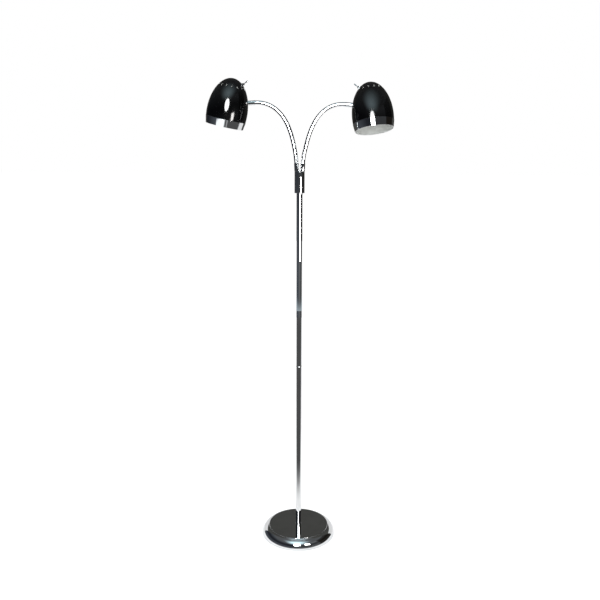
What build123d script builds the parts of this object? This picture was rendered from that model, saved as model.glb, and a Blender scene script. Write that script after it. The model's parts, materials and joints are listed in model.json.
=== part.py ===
from build123d import *

import os
from dataclasses import dataclass
from math import atan2, cos, degrees, radians, sin, sqrt

os.makedirs("parts", exist_ok=True)

# A chrome floor lamp with two goosenecks, each carrying a black bullet shade.
# Millimetres, +Z up, origin on the floor under the pole, +Y to the back, arms along X.

# ---------------------------------------------------------------- driving dimensions

# Base
BASE_R = 127.0              # where the cover's shoulder comes down to the floor
PLATE_R = 101.5             # flat plate inside the shoulder
BASE_H = 33.5               # floor to the top of the plate
COVER_T = 1.2
COVER_LIFT = 1.0            # the cover's edge stands this far off the floor
PAD_R = 121.0
PAD_T = 3.0
WEIGHT_R = 96.0
WEIGHT_EDGE = 3.0
NUT_WELL_R = 22.0           # well under the weight for the clamping nut
NUT_WELL_TOP = 24.0
CORE_IN_R = 30.0            # cored ring under the weight that saves iron
CORE_OUT_R = 84.0
CORE_TOP = 15.0
CORD_WAY_W = 9.0            # channel from the back of the weight to the well
CORD_WAY_TOP = 12.0

# Stud that clamps the weight and plugs into the pole
STUD_R = 6.0
STUD_BORE_R = 3.6
STUD_FOOT_Z = 14.0
PLUG_LENGTH = 26.0          # how far a plug goes into a tube's end
WASHER_R = 15.0
WASHER_T = 2.0
BASE_NUT_AF = 19.0          # across flats

# Bushing for the cord's hole at the back of the base
BUSHING_Z = 9.0
BUSHING_R = 5.0
BUSHING_BORE_R = 3.4
BUSHING_LENGTH = 14.0
BUSHING_FLANGE_R = 6.5
BUSHING_FLANGE_T = 1.6
BUSHING_EDGE = 0.8

# Flex inside the lamp
FLEX_R = 2.5
FLEX_FLOOR_Z = 6.5          # its height under the weight
FLEX_BEND_R = 7.5
FLEX_EASE_R = 60.0
FLEX_TAIL = 12.0            # short of the base's edge, and past the pole's top
FLEX_STEP_RUN = 14.0
FLEX_RAMP_RUN = 20.0

# Pole
POLE_R = 9.5
POLE_WALL = 1.2
JOINT_Z = 609.0             # where the two equal tubes meet
JOINT_RING_R = 10.1
JOINT_RING_H = 2.2
JOINT_RING_EDGE = 0.9
POLE_TOP_Z = 1183.5
FOOT_RING_R = 10.1
FOOT_RING_H = 1.6
FOOT_RING_EDGE = 0.5

# Junction block at the top of the pole
BLOCK_R = 16.0
BLOCK_WALL = 1.5
BLOCK_FLOOR_T = 2.5
BLOCK_EDGE = 0.5
BLOCK_TOP_Z = 1252.5
BLOCK_THREAD_RISE = 6.0     # of the stud above the block's floor
CAP_T = 2.2
CAP_SPIGOT_H = 3.0
SPLICE_FOOT_R = 5.2
SPLICE_TOP_R = 3.4
SPLICE_H = 22.0
SPLICE_X = 6.5
SPLICE_RISE = 10.0          # above the stud

# Goosenecks
NECK_R = 6.4
NECK_BORE_R = 4.2
NECK_LINKS = 7
SOCKET_GAP = 0.2            # between a link's ball and the next link's socket
FERRULE_R = 7.1
FERRULE_EDGE = 0.6
FERRULE_TILT = 3.0          # degrees outward from upright
FERRULE_TOP_X = 10.6
FERRULE_TOP_Z = 1277.0
FERRULE_SEAT = 12.0         # neck length held inside a lower ferrule
FERRULE_THREAD_R = 3.0
FERRULE_WIRE_R = 2.0
FERRULE_NUT_AF = 8.5
FERRULE_NUT_H = 4.0
TIP_FERRULE_R = 6.9
TIP_FERRULE_LENGTH = 24.0
TIP_FERRULE_SEAT = 8.0
TIP_FERRULE_EDGE = 0.4
NIPPLE_R = 4.9
NIPPLE_BORE_R = 3.2
NIPPLE_SEAT = 12.0          # from the ferrule's mouth to the nipple's hidden end
SWIVEL_NUT_AF = 14.0
SWIVEL_NUT_H = 4.0
THREAD_PAST_NUT = 1.5

# Shade: half a long spheroid, cut off below its widest ring
SHADE_R = 64.2              # outer radius at the widest ring
SHADE_H = 106.2             # widest ring to the crown
SHADE_DROP = 41.4           # widest ring down to the shade's edge
SHADE_T = 0.8
RIM_T = 0.6
RIM_TOP = -19.0             # top edge of the chrome rim, from the widest ring
RIM_LIP = 0.6
VENT_COUNT = 15
VENT_Z = 81.5
VENT_LENGTH = 8.0
VENT_WIDTH = 4.5
WALL_REACH = 5.0            # how far a hole's cutter goes to each side of the wall
ARM_HOLE_Z = 43.0
SWITCH_Z = 92.5

# Lampholder on its strap, with the strap's two screws
HOLDER_R = 18.0
HOLDER_TOP = 80.0
HOLDER_LOW = 49.0
HOLDER_EDGE = 2.0
HOLDER_BORE_R = 13.4
HOLDER_FLAT_X = -17.0       # flat on the body's side that takes the strap
HOLDER_FLAT_TOP = 72.0
STRAP_T = 1.5
STRAP_W = 14.0
STRAP_FLANGE_HALF = 9.0
STRAP_SET_BACK = 2.1        # flange inside the wall's outer face, clear of its curve
SADDLE_R = 7.0              # boss that fills the set-back round the nipple
TAB_LOW = 53.0
TAB_TOP = 71.0
SCREW_Z = 65.0
SCREW_Y = 4.2
SCREW_R = 1.5
SCREW_LENGTH = 3.5
SCREW_HEAD_R = 2.8
SCREW_HEAD_H = 1.6
SCREW_HEAD_EDGE = 0.6

# Bulb
BULB_R = 24.0
BULB_MIDDLE_Z = 10.0
BULB_T = 0.9
BULB_SHOULDER = 0.72        # of the radius, above the middle, where the ball ends
BULB_NECK_Z = 52.0
BULB_NECK_RISE = 4.0        # glass held inside the cap
BULB_NECK_FALL = 2.0        # straight glass below the neck's height
CAP_CREST_R = 13.0
CAP_ROOT_R = 12.3
CAP_WALL = 0.5
CAP_LOW = 51.0
CAP_LENGTH = 22.0
CAP_PITCH = 3.6
CAP_THREADS = 5
CAP_FIRST_THREAD = 3.0
CONTACT_R = 4.5
CONTACT_TOP = 76.0

# Toggle switch, standing on the shade's wall with its case inside
BUSH_R = 3.2
BUSH_BORE_R = 2.3
BUSH_TOP = 6.5
BUSH_FLOOR = 0.5
SWITCH_SET_BACK = 1.5
CASE_LENGTH = 12.7
CASE_WIDTH = 7.6
CASE_DEPTH = 9.6
TAG_SPACING = 4.2
TAG_LENGTH = 3.6
TAG_WIDTH = 2.2
TAG_T = 0.9
DRESS_NUT_R = 5.2
DRESS_NUT_H = 3.2
DRESS_NUT_EDGE = 0.7
FLUTES = 18
FLUTE_R = 0.55
FLUTE_OUT = 0.25            # flute centres stand this far outside the nut
LEVER_PIVOT = 4.2           # above the wall, inside the threaded bush
LEVER_BALL_R = 2.15
LEVER_LENGTH = 17.5
LEVER_ROOT_R = 1.3
LEVER_TIP_R = 2.1
LEVER_THROW = 12.5          # degrees to each side of the switch's axis

# Running and assembly clearances
RUN_GAP = 0.08              # radial, a turning hole over its shaft
FACE_GAP = 0.3              # between faces of pieces that move past each other


@dataclass(frozen=True)
class Arm:
    """What sets one arm apart from the other."""

    side: str
    heading: float          # degrees about the pole, 0 points along +X
    link_length: float      # of one seventh of the gooseneck, along its curve
    turns: tuple            # degrees that each gooseneck link turns outward
    shade_lean: float       # degrees that the shade's crown leans to the pole
    mouth_turn: float       # degrees that the shade is turned about its arm
    vent_phase: float       # degrees of the first vent slot


ARMS = (
    Arm("left", 180.0, 35.8, (7.0, 4.0, 7.0, 12.5, 17.0, 21.5, 21.0), 12.9, -3.1, 4.0),
    Arm("right", 0.0, 34.9, (10.0, 2.0, 7.0, 10.5, 18.0, 22.0, 22.5), 7.4, -12.3, 22.5),
)

# Sizes that follow from those above
UNDERSIDE_Z = BASE_H - COVER_T
POLE_BORE_R = POLE_R - POLE_WALL
CAP_FOOT_Z = BLOCK_TOP_Z - CAP_T - CAP_SPIGOT_H
FERRULE_FOOT_X = FERRULE_TOP_X - (FERRULE_TOP_Z - BLOCK_TOP_Z) * sin(radians(FERRULE_TILT))

STANDING = (Align.CENTER, Align.CENTER, Align.MIN)
PARTS = {}


def keep(name, shape):
    """Notes a finished piece under its node name."""
    PARTS[name] = shape


# ---------------------------------------------------------------- shared shapes


def turned(*outline):
    """A solid turned about Z from outline curves drawn as radius and height."""
    return revolve(Plane.XZ * make_face(Curve() + list(outline)), Axis.Z)


def rod(radius, low, high):
    """A round rod about Z between two heights."""
    return Pos(0, 0, low) * extrude(Circle(radius), high - low)


def tube(radius, bore, low, high):
    """A round tube about Z between two heights."""
    return rod(radius, low, high) - rod(bore, low, high)


def hex_nut(across_flats, bore, low, high):
    """A hexagonal nut about Z."""
    hexagon = RegularPolygon(across_flats / 2, 6, major_radius=False)
    return Pos(0, 0, low) * extrude(hexagon, high - low) - rod(bore, low, high)


def rounded_tube(radius, bore, low, high, edge):
    """A tube with both outer edges rounded."""
    corners = [(bore, low), (radius - edge, low), (radius, low + edge)]
    corners += [(radius, high - edge), (radius - edge, high), (bore, high)]
    return turned(
        Line(corners[0], corners[1]),
        RadiusArc(corners[1], corners[2], -edge),
        Line(corners[2], corners[3]),
        RadiusArc(corners[3], corners[4], -edge),
        Line(corners[4], corners[5]),
        Line(corners[5], corners[0]),
    )


def all_above(height, size):
    """A large block standing on a height, to keep or cut away what is above it."""
    return Pos(0, 0, height) * Box(size, size, size, align=STANDING)


def dome(radius):
    """The upper half of a ball about the origin."""
    return Sphere(radius) & all_above(0, 4 * radius)


# ---------------------------------------------------------------- base and pole


def shouldered_disc(flat_r, shoulder_w, low, high):
    """A disc with a flat top that falls to its edge in a quarter of an ellipse."""
    return turned(
        Line((0, low), (flat_r + shoulder_w, low)),
        EllipticalCenterArc((flat_r, low), shoulder_w, high - low, arc_size=90),
        Line((flat_r, high), (0, high)),
        Line((0, high), (0, low)),
    )


def cover_form():
    """The base cover's outer form, solid."""
    return shouldered_disc(PLATE_R, BASE_R - PLATE_R, COVER_LIFT, BASE_H)


def bushing_frame():
    """Placement at the cord hole's height with Z pointing to the back."""
    return Pos(0, 0, BUSHING_Z) * Rot(-90, 0, 0)


def cord_bushing():
    """The plastic bushing in the cord's hole, its flange shaped to the cover."""
    throat = tube(BUSHING_R, BUSHING_BORE_R, BASE_R - BUSHING_LENGTH, BASE_R)
    flange_low, flange_high = BASE_R - BUSHING_FLANGE_R, BASE_R + BUSHING_FLANGE_T
    flange = rounded_tube(BUSHING_FLANGE_R, BUSHING_BORE_R, flange_low, flange_high, BUSHING_EDGE)
    return bushing_frame() * throat + (bushing_frame() * flange - cover_form())


def build_base():
    """The weighted base with its mirror cover, pad, clamping stud and cord hole."""
    inside = shouldered_disc(PLATE_R, BASE_R - PLATE_R - COVER_T, COVER_LIFT, UNDERSIDE_Z)
    cover = cover_form() - inside - rod(STUD_R, 0, BASE_H)
    keep("base_cover", cover - bushing_frame() * rod(BUSHING_R, 0, BASE_R))

    weight = rounded_tube(WEIGHT_R, STUD_R, PAD_T, UNDERSIDE_Z, WEIGHT_EDGE)
    weight -= rod(NUT_WELL_R, PAD_T, NUT_WELL_TOP)
    weight -= tube(CORE_OUT_R, CORE_IN_R, PAD_T, CORE_TOP)
    way = Box(CORD_WAY_W, WEIGHT_R, CORD_WAY_TOP - PAD_T, align=(Align.CENTER, Align.MIN, Align.MIN))
    keep("base_weight", weight - Pos(0, NUT_WELL_R / 2, PAD_T) * way)

    keep("base_pad", rod(PAD_R, 0, PAD_T))

    plug_top = BASE_H + PLUG_LENGTH
    stud = rod(STUD_R, STUD_FOOT_Z, BASE_H) + rod(POLE_BORE_R, BASE_H, plug_top)
    keep("base_stud", stud - rod(STUD_BORE_R, STUD_FOOT_Z, plug_top))
    washer_low = NUT_WELL_TOP - WASHER_T
    keep("base_washer", tube(WASHER_R, STUD_R, washer_low, NUT_WELL_TOP))
    keep("base_nut", hex_nut(BASE_NUT_AF, STUD_R, STUD_FOOT_Z + 1.0, washer_low))
    keep("cord_bushing", cord_bushing())


def pole_flex():
    """The flex from the bushing, under the weight and up the pole to the block."""
    start_y, top_z = BASE_R - FLEX_TAIL, POLE_TOP_Z + FLEX_TAIL
    step_y = start_y - FLEX_STEP_RUN
    corners = [(start_y, BUSHING_Z), (step_y, BUSHING_Z), (step_y - FLEX_RAMP_RUN, FLEX_FLOOR_Z)]
    corners += [(0, FLEX_FLOOR_Z), (0, top_z)]
    route = Plane.YZ * FilletPolyline(*corners, radius=[FLEX_EASE_R, FLEX_EASE_R, FLEX_BEND_R])
    section = Plane(origin=route @ 0, z_dir=route % 0) * Circle(FLEX_R)
    return sweep(section, path=route)


def build_pole():
    """Two equal tubes over a plug, the rings at their ends, and the flex inside."""
    lower_top = JOINT_Z - JOINT_RING_H / 2
    upper_low = JOINT_Z + JOINT_RING_H / 2
    foot_top = BASE_H + FOOT_RING_H
    keep("pole_foot_ring", rounded_tube(FOOT_RING_R, POLE_R, BASE_H, foot_top, FOOT_RING_EDGE))
    keep("pole_lower", tube(POLE_R, POLE_BORE_R, BASE_H, lower_top))
    keep("pole_upper", tube(POLE_R, POLE_BORE_R, upper_low, POLE_TOP_Z))
    joint_ring = rounded_tube(JOINT_RING_R, POLE_BORE_R, lower_top, upper_low, JOINT_RING_EDGE)
    keep("pole_joint_ring", joint_ring)
    coupling = tube(POLE_BORE_R, STUD_BORE_R, JOINT_Z - PLUG_LENGTH, JOINT_Z + PLUG_LENGTH)
    keep("pole_coupling", coupling)
    keep("pole_flex", pole_flex())


def build_block():
    """The junction block: housing, stud into the pole, cap, nuts and wire splices."""
    inner_r = BLOCK_R - BLOCK_WALL
    floor_z = POLE_TOP_Z + BLOCK_FLOOR_T
    cap_low = BLOCK_TOP_Z - CAP_T
    housing = rounded_tube(BLOCK_R, STUD_R, POLE_TOP_Z, cap_low, BLOCK_EDGE)
    keep("block_housing", housing - rod(inner_r, floor_z, cap_low))

    plug_low, thread_top = POLE_TOP_Z - PLUG_LENGTH, floor_z + BLOCK_THREAD_RISE
    stud = rod(POLE_BORE_R, plug_low, POLE_TOP_Z) + rod(STUD_R, POLE_TOP_Z, thread_top)
    keep("block_stud", stud - rod(STUD_BORE_R, plug_low, thread_top))

    cap = rounded_tube(BLOCK_R, STUD_R, cap_low, BLOCK_TOP_Z, BLOCK_EDGE)
    cap += rod(STUD_R, cap_low, BLOCK_TOP_Z) + rod(inner_r, CAP_FOOT_Z, cap_low)
    nut_low = CAP_FOOT_Z - FERRULE_NUT_H
    nuts, ferrules = Part(), Part()
    for arm in ARMS:
        side = Rot(0, 0, arm.heading)
        foot = side * Pos(FERRULE_FOOT_X, 0, 0)
        cap -= foot * rod(FERRULE_THREAD_R, CAP_FOOT_Z, BLOCK_TOP_Z)
        nuts += foot * hex_nut(FERRULE_NUT_AF, FERRULE_THREAD_R, nut_low, CAP_FOOT_Z)
        ferrules += side * lower_ferrule(nut_low - 1.0)
    keep("block_cap", cap)
    keep("ferrule_nuts", nuts)
    keep("lower_ferrules", ferrules)

    splice = Cone(SPLICE_FOOT_R, SPLICE_TOP_R, SPLICE_H, align=STANDING)
    splices = [Pos(x, 0, thread_top + SPLICE_RISE) * splice for x in (-SPLICE_X, SPLICE_X)]
    keep("splice_caps", Part() + splices)


# ---------------------------------------------------------------- goosenecks
# Each arm is drawn pointing along +X in the XZ plane, then turned to its heading.


def lower_ferrule(thread_low):
    """The cup that holds a gooseneck on the block, with its thread through the cap."""
    lean = Pos(FERRULE_TOP_X, 0, FERRULE_TOP_Z) * Rot(0, FERRULE_TILT, 0)
    length = FERRULE_TOP_Z - BLOCK_TOP_Z + 2.0
    cup = lean * rounded_tube(FERRULE_R, 0, -length, 0, FERRULE_EDGE)
    cup &= all_above(BLOCK_TOP_Z, 4 * length)
    cup -= lean * rod(NECK_R, -FERRULE_SEAT, 0)
    foot = Pos(FERRULE_FOOT_X, 0, 0)
    cup += foot * rod(FERRULE_THREAD_R, thread_low, BLOCK_TOP_Z)
    return cup - foot * rod(FERRULE_WIRE_R, thread_low, FERRULE_TOP_Z - FERRULE_SEAT / 2)


@dataclass(frozen=True)
class Station:
    """A point on a gooseneck's centreline with its slope from upright, in degrees."""

    x: float
    z: float
    slope: float

    def frame(self):
        """Placement whose Z runs along the neck and whose X points to its outside."""
        return Pos(self.x, 0, self.z) * Rot(0, self.slope, 0)

    def ahead(self, length, turn):
        """The station at the far end of an arc of this length and turn."""
        radius = length / radians(turn)
        far = self.slope + turn
        centre_x = self.x + radius * cos(radians(self.slope))
        centre_z = self.z - radius * sin(radians(self.slope))
        far_x = centre_x - radius * cos(radians(far))
        return Station(far_x, centre_z + radius * sin(radians(far)), far)


def neck_stations(arm):
    """The ends of the gooseneck's links, from the lower ferrule's mouth to the tip."""
    stations = [Station(FERRULE_TOP_X, FERRULE_TOP_Z, FERRULE_TILT)]
    for turn in arm.turns:
        stations.append(stations[-1].ahead(arm.link_length, turn))
    return stations


def bent_rod(arm, number, start, radius):
    """A round rod bent in the arc of one link, from a station."""
    turn = arm.turns[number - 1]
    centre = (start.frame() * Pos(arm.link_length / radians(turn), 0, 0)).position
    return revolve(start.frame() * Circle(radius), Axis(centre, (0, 1, 0)), turn)


def neck_link(arm, number, start, end):
    """One bored link of the gooseneck, with a socket at its near end and a ball at its far one."""
    link = bent_rod(arm, number, start, NECK_R)
    bore = bent_rod(arm, number, start, NECK_BORE_R)
    if number == 1:
        link += start.frame() * rod(NECK_R, -FERRULE_SEAT, 0)
        bore += start.frame() * rod(NECK_BORE_R, -FERRULE_SEAT, 0)
    if number < NECK_LINKS:
        link += end.frame() * dome(NECK_R)
        bore += end.frame() * rod(NECK_BORE_R, 0, NECK_R)
    else:
        link += end.frame() * rod(NECK_R, 0, TIP_FERRULE_SEAT)
        bore += end.frame() * rod(NECK_BORE_R, 0, TIP_FERRULE_SEAT)
    link -= bore
    if number > 1:
        link -= start.frame() * Sphere(NECK_R + SOCKET_GAP)
    return link


def build_arm(arm):
    """One gooseneck with the ferrule, nipple and nut that carry its shade."""
    side = Rot(0, 0, arm.heading)
    stations = neck_stations(arm)
    for number in range(1, NECK_LINKS + 1):
        link = neck_link(arm, number, stations[number - 1], stations[number])
        keep(f"{arm.side}_neck_link_{number}", side * link)

    tip = side * stations[-1].frame()
    ferrule_end = TIP_FERRULE_LENGTH - FACE_GAP
    ferrule = rounded_tube(TIP_FERRULE_R, NIPPLE_R, 0, ferrule_end, TIP_FERRULE_EDGE)
    keep(f"{arm.side}_tip_ferrule", tip * (ferrule - rod(NECK_R, 0, TIP_FERRULE_SEAT)))

    nut_low = TIP_FERRULE_LENGTH + STRAP_SET_BACK + STRAP_T + FACE_GAP
    nut_high = nut_low + SWIVEL_NUT_H
    nipple = tube(NIPPLE_R, NIPPLE_BORE_R, NIPPLE_SEAT, nut_high + THREAD_PAST_NUT)
    keep(f"{arm.side}_swivel_nipple", tip * nipple)
    keep(f"{arm.side}_swivel_nut", tip * hex_nut(SWIVEL_NUT_AF, NIPPLE_R, nut_low, nut_high))


# ---------------------------------------------------------------- heads
# A head is drawn about its shade's axis, with the arm's side along -X and the
# origin at the widest ring, then set on its arm's tip.


def spheroid(grow, low):
    """The shade's solid outer form, grown by an offset and cut off flat at a height."""
    across, up = SHADE_R + grow, SHADE_H + grow
    edge_angle = degrees(atan2(low / up, sqrt(1 - (low / up) ** 2)))
    edge_r = across * cos(radians(edge_angle))
    return turned(
        Line((0, low), (edge_r, low)),
        EllipticalCenterArc((0, 0), across, up, edge_angle, arc_size=90 - edge_angle),
        Line((0, up), (0, low)),
    )


def shade_wall(height):
    """Radius of the shade's outer wall at a height, and its normal's rise in degrees."""
    radius = SHADE_R * sqrt(1 - (height / SHADE_H) ** 2)
    return radius, degrees(atan2(height / SHADE_H**2, radius / SHADE_R**2))


def wall_frame(height):
    """Placement on the shade's wall on the arm's side, with Z outward and Y to the side."""
    radius, rise = shade_wall(height)
    return Pos(-radius, 0, height) * Rot(0, rise - 90, 0)


def swivel_frame(arm):
    """The arm's axis in the head's own axes: origin at the wall, Z into the shade."""
    hole_r, _ = shade_wall(ARM_HOLE_Z)
    slope = neck_stations(arm)[-1].slope + arm.shade_lean
    return Pos(-hole_r, 0, ARM_HOLE_Z) * Rot(0, slope, 0)


def head_frame(arm):
    """Placement of a head's own axes on its arm's tip."""
    wall = neck_stations(arm)[-1].frame() * Pos(0, 0, TIP_FERRULE_LENGTH)
    return Rot(0, 0, arm.heading) * wall * Rot(0, 0, arm.mouth_turn) * swivel_frame(arm).inverse()


def shade_shell(arm):
    """The spun shade with its vent slots and the holes for the arm and the switch."""
    shell = spheroid(0, -SHADE_DROP) - spheroid(-SHADE_T, -SHADE_DROP)
    radius, rise = shade_wall(VENT_Z)
    slot = extrude(SlotOverall(VENT_LENGTH, VENT_WIDTH), WALL_REACH, both=True)
    slot = Pos(radius, 0, VENT_Z) * Rot(0, 90 - rise, 0) * slot
    for number in range(VENT_COUNT):
        shell -= Rot(0, 0, arm.vent_phase + number * 360 / VENT_COUNT) * slot
    shell -= swivel_frame(arm) * rod(NIPPLE_R + RUN_GAP, -WALL_REACH, WALL_REACH)
    return shell - wall_frame(SWITCH_Z) * rod(BUSH_R, -WALL_REACH, WALL_REACH)


def rim_ring():
    """The chrome rim, which sleeves the shade's edge and folds under it."""
    low = -SHADE_DROP - RIM_LIP
    sleeve = spheroid(RIM_T, low) - spheroid(0, low) - all_above(RIM_TOP, 4 * SHADE_R)
    edge_r, _ = shade_wall(-SHADE_DROP)
    return sleeve + tube(edge_r + RIM_T / 2, edge_r - SHADE_T, low, -SHADE_DROP)


def holder_strap(arm):
    """The bent strap from the arm's nipple to the lampholder's side."""
    axis = swivel_frame(arm)
    flange_low = STRAP_SET_BACK + STRAP_T
    flange = Box(2 * STRAP_FLANGE_HALF, STRAP_W, STRAP_T, align=STANDING)
    flange = axis * Pos(0, 0, STRAP_SET_BACK) * flange
    saddle = axis * rod(SADDLE_R, -WALL_REACH, flange_low) & spheroid(-SHADE_T, -SHADE_DROP)

    ends = [(axis * Pos(x, 0, flange_low)).position for x in (-STRAP_FLANGE_HALF, STRAP_FLANGE_HALF)]
    top = max(ends, key=lambda point: point.Z)
    tab_x = HOLDER_FLAT_X - STRAP_T / 2
    tab = Pos(tab_x, 0, (TAB_LOW + TAB_TOP) / 2) * Box(STRAP_T, STRAP_W, TAB_TOP - TAB_LOW)
    run = Vector(tab_x, 0, TAB_LOW + STRAP_T / 2) - top
    bridge = Box(run.length + STRAP_T / 2, STRAP_W, STRAP_T)
    bridge = Pos(*(top + run * 0.5)) * Rot(0, -degrees(atan2(run.Z, run.X)), 0) * bridge
    holder_side = Box(SHADE_R, SHADE_R, 4 * SHADE_H, align=(Align.MIN, Align.CENTER, Align.CENTER))
    bridge -= Pos(HOLDER_FLAT_X, 0, 0) * holder_side

    strap = flange + saddle + bridge + tab
    strap -= axis * rod(NIPPLE_R + RUN_GAP, -WALL_REACH, flange_low + 1.0)
    return strap - screw_shanks()


def at_screws(piece):
    """A piece drawn along Z, set at both of the strap's screws and pointing inward."""
    places = [Pos(HOLDER_FLAT_X, y, SCREW_Z) * Rot(0, 90, 0) for y in (-SCREW_Y, SCREW_Y)]
    return Part() + [place * piece for place in places]


def screw_shanks():
    """The shanks of the two screws, which also cut their holes."""
    return at_screws(rod(SCREW_R, -STRAP_T, SCREW_LENGTH))


def strap_screws():
    """The two pan-head screws that hold the strap to the lampholder."""
    head = rounded_tube(SCREW_HEAD_R, SCREW_R, -STRAP_T - SCREW_HEAD_H, -STRAP_T, SCREW_HEAD_EDGE)
    return at_screws(head + rod(SCREW_R, -STRAP_T - SCREW_HEAD_H, SCREW_LENGTH))


def lampholder():
    """The lampholder's moulded body, open below for the bulb, with a flat for its strap."""
    body = rounded_tube(HOLDER_R, CONTACT_R, HOLDER_LOW, HOLDER_TOP, HOLDER_EDGE)
    body += rod(CONTACT_R, HOLDER_LOW, HOLDER_TOP)
    body -= rod(HOLDER_BORE_R, HOLDER_LOW, CONTACT_TOP + 1.0)
    flat_align = (Align.MAX, Align.CENTER, Align.MIN)
    flat = Box(HOLDER_R, 2 * HOLDER_R, HOLDER_FLAT_TOP - HOLDER_LOW, align=flat_align)
    return body - Pos(HOLDER_FLAT_X, 0, HOLDER_LOW) * flat - screw_shanks()


def bulb_form(grow):
    """A round bulb with a neck, solid, grown by an offset."""
    ball_r, throat_r = BULB_R + grow, CAP_ROOT_R - CAP_WALL + grow
    side_rise = BULB_SHOULDER * BULB_R
    side_z, side_r = BULB_MIDDLE_Z + side_rise, sqrt(ball_r**2 - side_rise**2)
    neck_low, neck_top = BULB_NECK_Z - BULB_NECK_FALL, BULB_NECK_Z + BULB_NECK_RISE
    foot_z = BULB_MIDDLE_Z - ball_r
    return turned(
        Line((0, foot_z), (0, neck_top)),
        Line((0, neck_top), (throat_r, neck_top)),
        Line((throat_r, neck_top), (throat_r, neck_low)),
        Spline((throat_r, neck_low), (side_r, side_z), tangents=[(0, -1), (side_rise, -side_r)]),
        ThreePointArc((side_r, side_z), (ball_r, BULB_MIDDLE_Z), (0, foot_z)),
    )


def bulb_glass():
    """A small round bulb, hollow, open where its neck sits in the cap."""
    return bulb_form(0) - bulb_form(-BULB_T)


def bulb_cap():
    """The bulb's screw cap with its rolled thread and the contact on top."""
    cap = tube(CAP_ROOT_R, CAP_ROOT_R - CAP_WALL, CAP_LOW, CAP_LOW + CAP_LENGTH)
    crest = CAP_CREST_R - CAP_ROOT_R
    ring = Torus(CAP_ROOT_R, crest) - rod(CAP_ROOT_R - CAP_WALL / 2, -crest, crest)
    for number in range(CAP_THREADS):
        cap += Pos(0, 0, CAP_LOW + CAP_FIRST_THREAD + number * CAP_PITCH) * ring
    top = CAP_LOW + CAP_LENGTH
    return cap + rod(CAP_ROOT_R - CAP_WALL / 2, top - 1.0, top) + rod(CONTACT_R, top, CONTACT_TOP)


def switch_body():
    """The toggle switch's case, its threaded bush and three solder tags."""
    case_low = -SWITCH_SET_BACK - CASE_DEPTH
    body = Pos(0, 0, case_low) * Box(CASE_LENGTH, CASE_WIDTH, CASE_DEPTH, align=STANDING)
    body += rod(BUSH_R, -SWITCH_SET_BACK, BUSH_TOP)
    body -= rod(BUSH_BORE_R, -SWITCH_SET_BACK + BUSH_FLOOR, BUSH_TOP)
    for tag in (-1, 0, 1):
        place = Pos(tag * TAG_SPACING, 0, case_low - TAG_LENGTH)
        body += place * Box(TAG_T, TAG_WIDTH, TAG_LENGTH, align=STANDING)
    return body


def switch_nut():
    """The bright dress nut on the bush, with flutes round its edge."""
    nut = rounded_tube(DRESS_NUT_R, BUSH_R, 0, DRESS_NUT_H, DRESS_NUT_EDGE)
    flute = Pos(DRESS_NUT_R + FLUTE_OUT, 0, 0) * rod(FLUTE_R, 0, DRESS_NUT_H)
    for number in range(FLUTES):
        nut -= Rot(0, 0, number * 360 / FLUTES) * flute
    return nut


def switch_lever():
    """The bat lever, standing along Z from its ball."""
    tip_z = LEVER_LENGTH - LEVER_TIP_R
    shank = Cone(LEVER_ROOT_R, LEVER_TIP_R, tip_z, align=STANDING)
    return Sphere(LEVER_BALL_R) + shank + Pos(0, 0, tip_z) * dome(LEVER_TIP_R)


def build_head(arm):
    """One shade with its rim, lampholder, bulb and toggle switch."""
    place = head_frame(arm)
    switch = wall_frame(SWITCH_Z)
    lever = switch * Pos(0, 0, LEVER_PIVOT) * Rot(-LEVER_THROW, 0, 0)
    pieces = {
        "shade": shade_shell(arm),
        "rim_ring": rim_ring(),
        "holder_strap": holder_strap(arm),
        "strap_screws": strap_screws(),
        "lampholder": lampholder(),
        "bulb_glass": bulb_glass(),
        "bulb_cap": bulb_cap(),
        "switch_body": switch * switch_body(),
        "switch_nut": switch * switch_nut(),
        "switch_lever": lever * switch_lever(),
    }
    for name, piece in pieces.items():
        keep(f"{arm.side}_{name}", place * piece)


build_base()
build_pole()
build_block()
for arm in ARMS:
    build_arm(arm)
    build_head(arm)

for name, piece in PARTS.items():
    export_step(piece, f"parts/{name}.step")
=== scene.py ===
"""Looks of a chrome floor lamp with two goosenecks and black bullet shades.

Every size is in millimetres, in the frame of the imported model: +Z up, the origin on
the floor under the pole, +Y to the back, and the arms along X.
"""

from __future__ import annotations

import json
import logging
from collections.abc import Callable, Iterable
from dataclasses import dataclass, field
from enum import Enum
from functools import partial
from math import atan2, cos, degrees, pi, radians, sin, sqrt

import bpy
from mathutils import Matrix, Vector

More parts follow.
